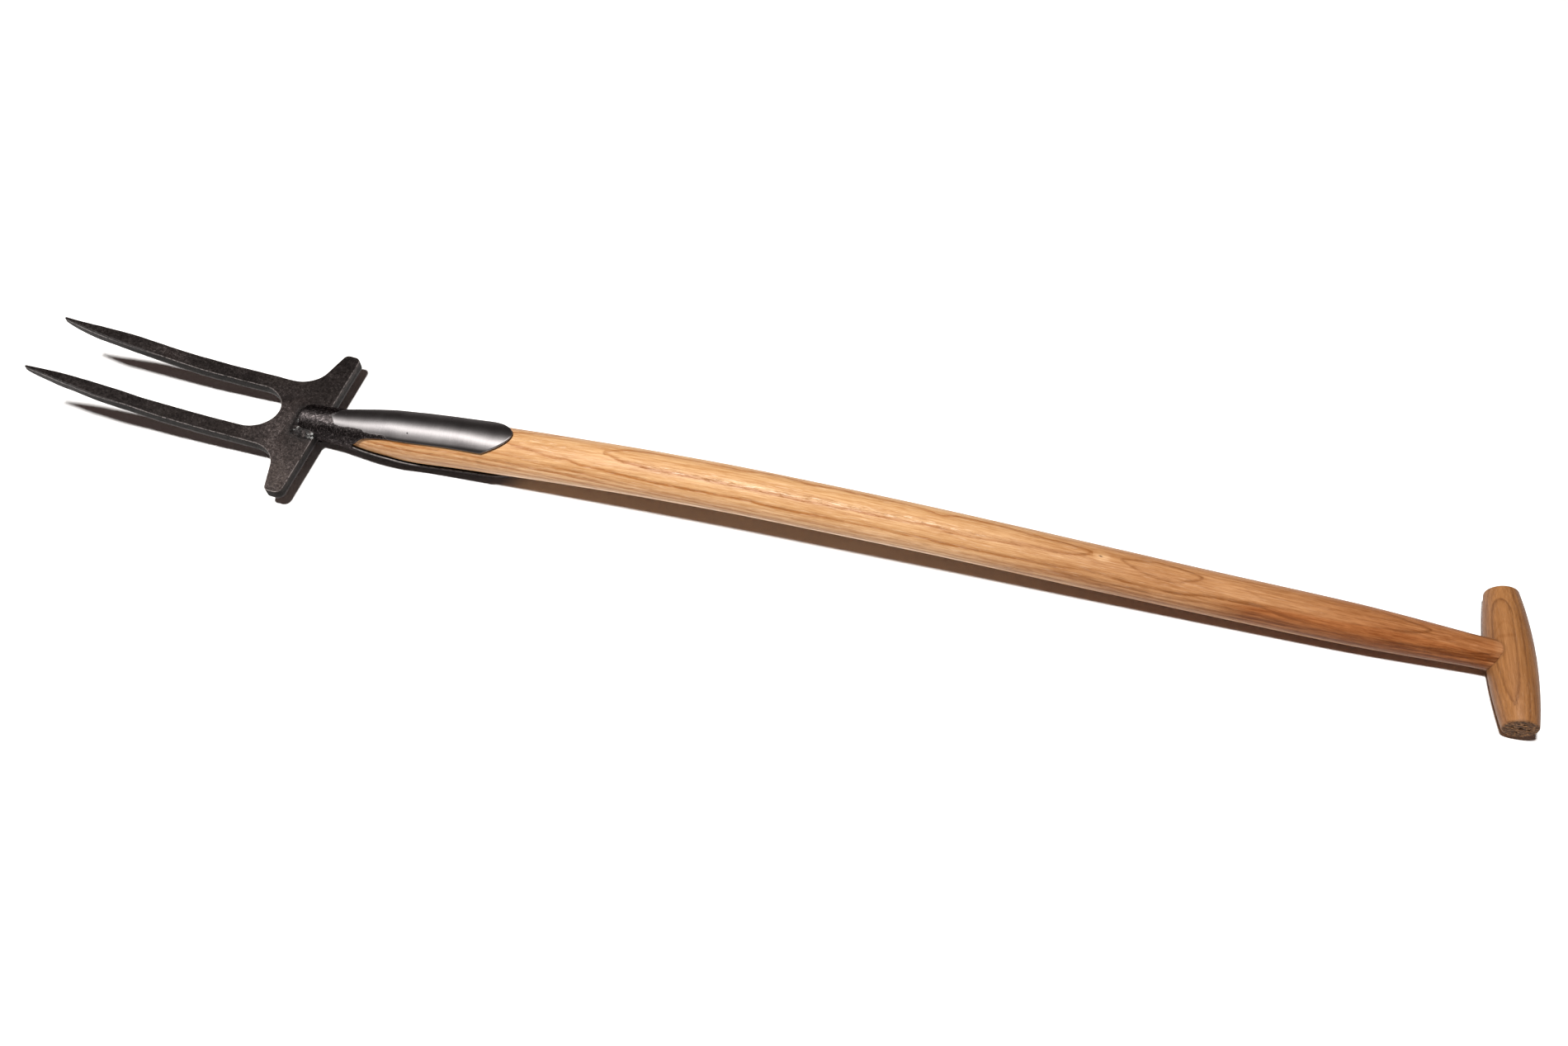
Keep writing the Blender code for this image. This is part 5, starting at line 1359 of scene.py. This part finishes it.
    # darker, smoky heart of the oval with a faint curl across it
    heart = (1 - step(np.abs(a) / np.radians(np.maximum(np.abs(w), 1.0)), 0.75, 1.05)) * (w > 0)
    curl = np.exp(-((YY - (13.0 - 9.0 * np.abs(np.sin(a * 1.7 + 0.35)) ** 1.0 + 6 * np.sin(a * 2.4))) / 1.6) ** 2)
    curl2 = np.exp(-((YY - (24.0 + 10.0 * np.cos(a * 3.2 - 0.3) - 12)) / 1.4) ** 2)
    smoke_and_shade = np.clip(0.16 + 0.22 * heart + 0.42 * heart * (curl + 0.6 * curl2), 0, 1)
    smoke_and_shade = np.where(EE > 0.5, 0.2, smoke_and_shade)
    arc = np.abs(deg)
    grain = np.stack([YY, X - GRIP_X + 30, Z - GRIP_R + 30], axis=-1) * MM
    seam = np.abs(np.hypot(YY * 1.0, Z - float(axis_z(545))) - 11.6)
    ink = 0.18 * np.where((deg < -10) & (deg > -170), 1 - step(seam, 0.3, 1.1), 0.0)
    attrs = {"ring": ring, "slope": slope, "strong": strong, "bold": np.zeros_like(X), "smoke_and_shade": smoke_and_shade, "pale_and_flank_light": np.zeros_like(X), "ink": ink,
             "endgrain": np.clip(EE * 1.15, 0, 1) ** 1.5, "hole": hole}
    verts = P.reshape(-1, 3)
    faces = grid_faces(nu, na, wrap_v=True)
    vals = {k: v.ravel() for k, v in attrs.items()}
    vals["grain"] = grain.reshape(-1, 3)
    for sgn, row in ((-1, 0), (1, nu - 1)):
        mid = P[row].mean(axis=0)[None, :]
        k = len(verts)
        verts = np.concatenate([verts, mid])
        for key in vals:
            src = vals[key][row * na]
            vals[key] = np.concatenate([vals[key], np.array([src])])
        vals["hole"][-1] = 1.0
        for j in range(na):
            jj = (j + 1) % na
            faces.append((row * na + j, k, row * na + jj) if sgn < 0 else (row * na + jj, k, row * na + j))
    ob = make_object("turned_grip", verts, faces, material, vals, sharp=None)
    recalc(ob)
    # bore for the tenon, open to the outer side
    bm = bmesh.new()
    bmesh.ops.create_cone(bm, cap_ends=True, segments=72, radius1=(TENON_R + 0.12) * MM, radius2=(TENON_R + 0.12) * MM,
                          depth=24 * MM)
    cut_mesh = bpy.data.meshes.new("bore_cutter")
    bm.to_mesh(cut_mesh)
    bm.free()
    cutter = bpy.data.objects.new("bore_cutter", cut_mesh)
    bpy.context.scene.collection.objects.link(cutter)
    cutter.rotation_euler = (0, math.radians(90), 0)
    cutter.location = ((GRIP_X + 8) * MM, 0, GRIP_R * MM)
    bpy.context.view_layer.update()
    boolean(ob, cutter)
    ob.data.shade_smooth()
    ob.data.set_sharp_from_angle(angle=math.radians(50))
    return fit_piece(ob, "ash_grip", "t_grip")


def build_wedge(material):
    """Hardwood wedge across the tenon's end, dressed with it."""
    ny, nz = 7, 40
    ys = np.linspace(-1.25, 1.25, ny)
    zs = np.linspace(-TENON_R + 0.1, TENON_R - 0.1, nz)
    Yg, Zg = np.meshgrid(ys, zs, indexing="ij")
    Yg = Yg + 0.12 * noise(np.c_[Zg.ravel() / 2.5, Yg.ravel(), Yg.ravel() * 0], 91).reshape(Yg.shape)
    Xf = GRIP_X + np.sqrt(grip_radius(Yg) ** 2 - Zg ** 2) + 0.12
    Xf = np.minimum(Xf, GRIP_X + 15.70)
    P = np.stack([Xf, Yg, Zg + GRIP_R], axis=-1)
    Q = np.stack([Xf * 0 + GRIP_X + 2.0, Yg * 0.35, Zg + GRIP_R], axis=-1)
    verts = np.concatenate([P.reshape(-1, 3), Q.reshape(-1, 3)])
    n0 = ny * nz
    faces = grid_faces(ny, nz) + grid_faces(ny, nz, offset=n0, flip=True)
    loop = [(i, nz - 1) for i in range(ny)] + [(ny - 1, j) for j in range(nz - 2, -1, -1)] \
        + [(i, 0) for i in range(ny - 2, -1, -1)] + [(0, j) for j in range(1, nz - 1)]
    ids = [i * nz + j for i, j in loop]
    for q in range(len(ids)):
        a0, b0 = ids[q], ids[(q + 1) % len(ids)]
        faces.append((a0, b0, b0 + n0, a0 + n0))
    ob = make_object("wedge_end", verts, faces, material, sharp=40)
    recalc(ob)
    return fit_piece(ob, "wedge_wood", "tenon_wedge")


def wedge_wood():
    s = Shader("wedge_wood_looks")
    fibre = s.noise(s.scaled(s.here, (900, 3800, 500)), 1.0, 4, 0.65)
    pores = s.fit(s.cells(s.here, 2600), 0.0, 0.3, 1.0, 0.0)
    color = s.ramp(fibre, [(0.3, (0.13, 0.06, 0.026)), (0.55, (0.26, 0.13, 0.06)), (0.75, (0.38, 0.21, 0.10))])
    color = s.mix(s.mul(pores, 0.5), color, (0.05, 0.025, 0.012))
    return s.set(Base_Color=color, Roughness=0.6, Normal=s.bump(s.add(fibre, s.mul(pores, -0.5)), 0.0003, 0.7))


def build_screws(material):
    for k, x in enumerate(SCREW_X):
        z0 = float(axis_z(x)) - 0.15 - float(strap_radius(x, REAR_FIT))
        na = 64
        profile = [(0.35, -0.62), (1.2, -0.60), (2.2, -0.50), (3.0, -0.30), (3.5, -0.05), (3.72, 0.15), (3.72, 0.35), (2.0, 2.3), (1.9, 2.6)]
        # thread: a shallow helix-like ripple on the shank
        for q in range(60):
            zz = 2.8 + q * 0.25
            taper = 1.0 if zz < 13 else max(0.12, 1 - (zz - 13) / 5.2)
            profile.append(((1.55 + 0.35 * (0.5 + 0.5 * math.cos(2 * math.pi * zz / 1.6))) * taper, zz))
        th = np.linspace(0, 2 * np.pi, na, endpoint=False)
        rows = []
        for r, z in profile:
            zz = np.full(na, z)
            if z < 0.0:
                slot = (np.abs(r * np.sin(th)) < 0.0)
                zz = zz
            rows.append(np.c_[x + r * np.cos(th), r * np.sin(th), z0 + zz])
        P = np.concatenate(rows)
        nu = len(profile)
        faces = grid_faces(nu, na, wrap_v=True)
        faces.append(tuple(range(na)))
        faces.append(tuple(range((nu - 1) * na, nu * na)))
        ob = make_object(("screw_lower", "screw_upper")[k], P, faces, material, sharp=40)
        recalc(ob)
        bm = bmesh.new()
        bmesh.ops.create_cube(bm, size=1.0)
        bmesh.ops.scale(bm, vec=Vector((1.05, 12, 1.6)) * MM, verts=bm.verts)
        slot_mesh = bpy.data.meshes.new("slot_cutter")
        bm.to_mesh(slot_mesh)
        bm.free()
        cutter = bpy.data.objects.new("slot_cutter", slot_mesh)
        bpy.context.scene.collection.objects.link(cutter)
        cutter.location = (x * MM, 0, (z0 - 0.55) * MM)
        cutter.rotation_euler = (0, 0, math.radians(18 + 50 * k))
        bpy.context.view_layer.update()
        boolean(ob, cutter)
        fit_piece(ob, "screw_steel", ("strap_screw_lower", "strap_screw_upper")[k])


# ---------------------------------------------------------------- stage, light and camera
POWER, AIM, FLOOR = 128.0, (0.80, 1.10), 0.86


def build_stage():
    mesh = bpy.data.meshes.new("floor")
    mesh.from_pydata([(-9, -9, 0), (9, -9, 0), (9, 9, 0), (-9, 9, 0)], [], [(0, 1, 2, 3)])
    s = Shader("floor_pale")
    s.set(Base_Color=(FLOOR, FLOOR, FLOOR), Roughness=0.9)
    s.bsdf.inputs["Specular IOR Level"].default_value = 0.0
    mesh.materials.append(s.mat)
    floor = bpy.data.objects.new("floor", mesh)
    floor.location.z = -0.0004
    bpy.context.scene.collection.objects.link(floor)

    light = bpy.data.lights.new("key", "AREA")
    light.shape, light.size = "DISK", 0.30
    light.energy = POWER
    light.color = (1.0, 0.985, 0.965)
    key = bpy.data.objects.new("key", light)
    place = Vector((-0.40, -0.50, 2.30))
    key.location = place
    key.rotation_euler = (Vector((*AIM, 0.0)) - place).to_track_quat("-Z", "Y").to_euler()
    bpy.context.scene.collection.objects.link(key)

    world = bpy.data.worlds.new("studio")
    world.use_nodes = True
    world.node_tree.nodes["Background"].inputs["Color"].default_value = (1.0, 0.70, 0.62, 1.0)
    world.node_tree.nodes["Background"].inputs["Strength"].default_value = 0.060
    bpy.context.scene.world = world

    view = bpy.context.scene.view_settings
    view.view_transform = "Standard"
    view.look = "None"
    view.exposure, view.gamma = 0.0, 1.0


def build_camera():
    yaw, pitch, roll = (math.radians(v) for v in (-12.4435, 54.3050, 1.0220))
    cy, sy, cp, sp = math.cos(yaw), math.sin(yaw), math.cos(pitch), math.sin(pitch)
    look = Vector((sy * cp, cy * cp, -sp))
    right = Vector((cy, -sy, 0.0))
    up = right.cross(look)
    r2 = right * math.cos(roll) + up * math.sin(roll)
    u2 = -right * math.sin(roll) + up * math.cos(roll)
    data = bpy.data.cameras.new("camera")
    data.sensor_fit = "HORIZONTAL"
    data.sensor_width = 36.0
    data.lens = 1417.454 * 36.0 / 1900.0
    data.clip_start, data.clip_end = 0.01, 50.0
    cam = bpy.data.objects.new("camera", data)
    cam.matrix_world = Matrix(((r2.x, u2.x, -look.x, 0.146419), (r2.y, u2.y, -look.y, -0.514414),
                               (r2.z, u2.z, -look.z, 0.739895), (0, 0, 0, 1)))
    bpy.context.scene.collection.objects.link(cam)
    bpy.context.scene.camera = cam


build_camera()
build_stage()
build_head(forged_steel())
pressed = sheet_steel("pressed_steel_looks")
build_straps(pressed, sheet_steel("pressed_steel_rear_looks", 0.030, 0.6, 0.4, 0.22))
build_welds(weld_metal())
build_seams(sheet_steel("ground_seam_looks", 0.10))
build_shaft(ash_material("ash_shaft_looks", ((0.488, 0.292, 0.140), (0.345, 0.170, 0.064), (0.250, 0.086, 0.016)),
                         ((0.286, 0.106, 0.035), (0.160, 0.046, 0.0115), (0.085, 0.022, 0.0045)), SHAFT_WEIGHTS))
build_grip(ash_material("ash_grip_looks", ((0.302, 0.140, 0.050), (0.205, 0.086, 0.027), (0.122, 0.044, 0.0125)),
                        ((0.222, 0.092, 0.031), (0.150, 0.056, 0.017), (0.088, 0.029, 0.008)), GRIP_WEIGHTS,
                        contrast=0.75, fleck_share=0.05, pore_share=0.45))
build_wedge(wedge_wood())
build_screws(screw_steel())
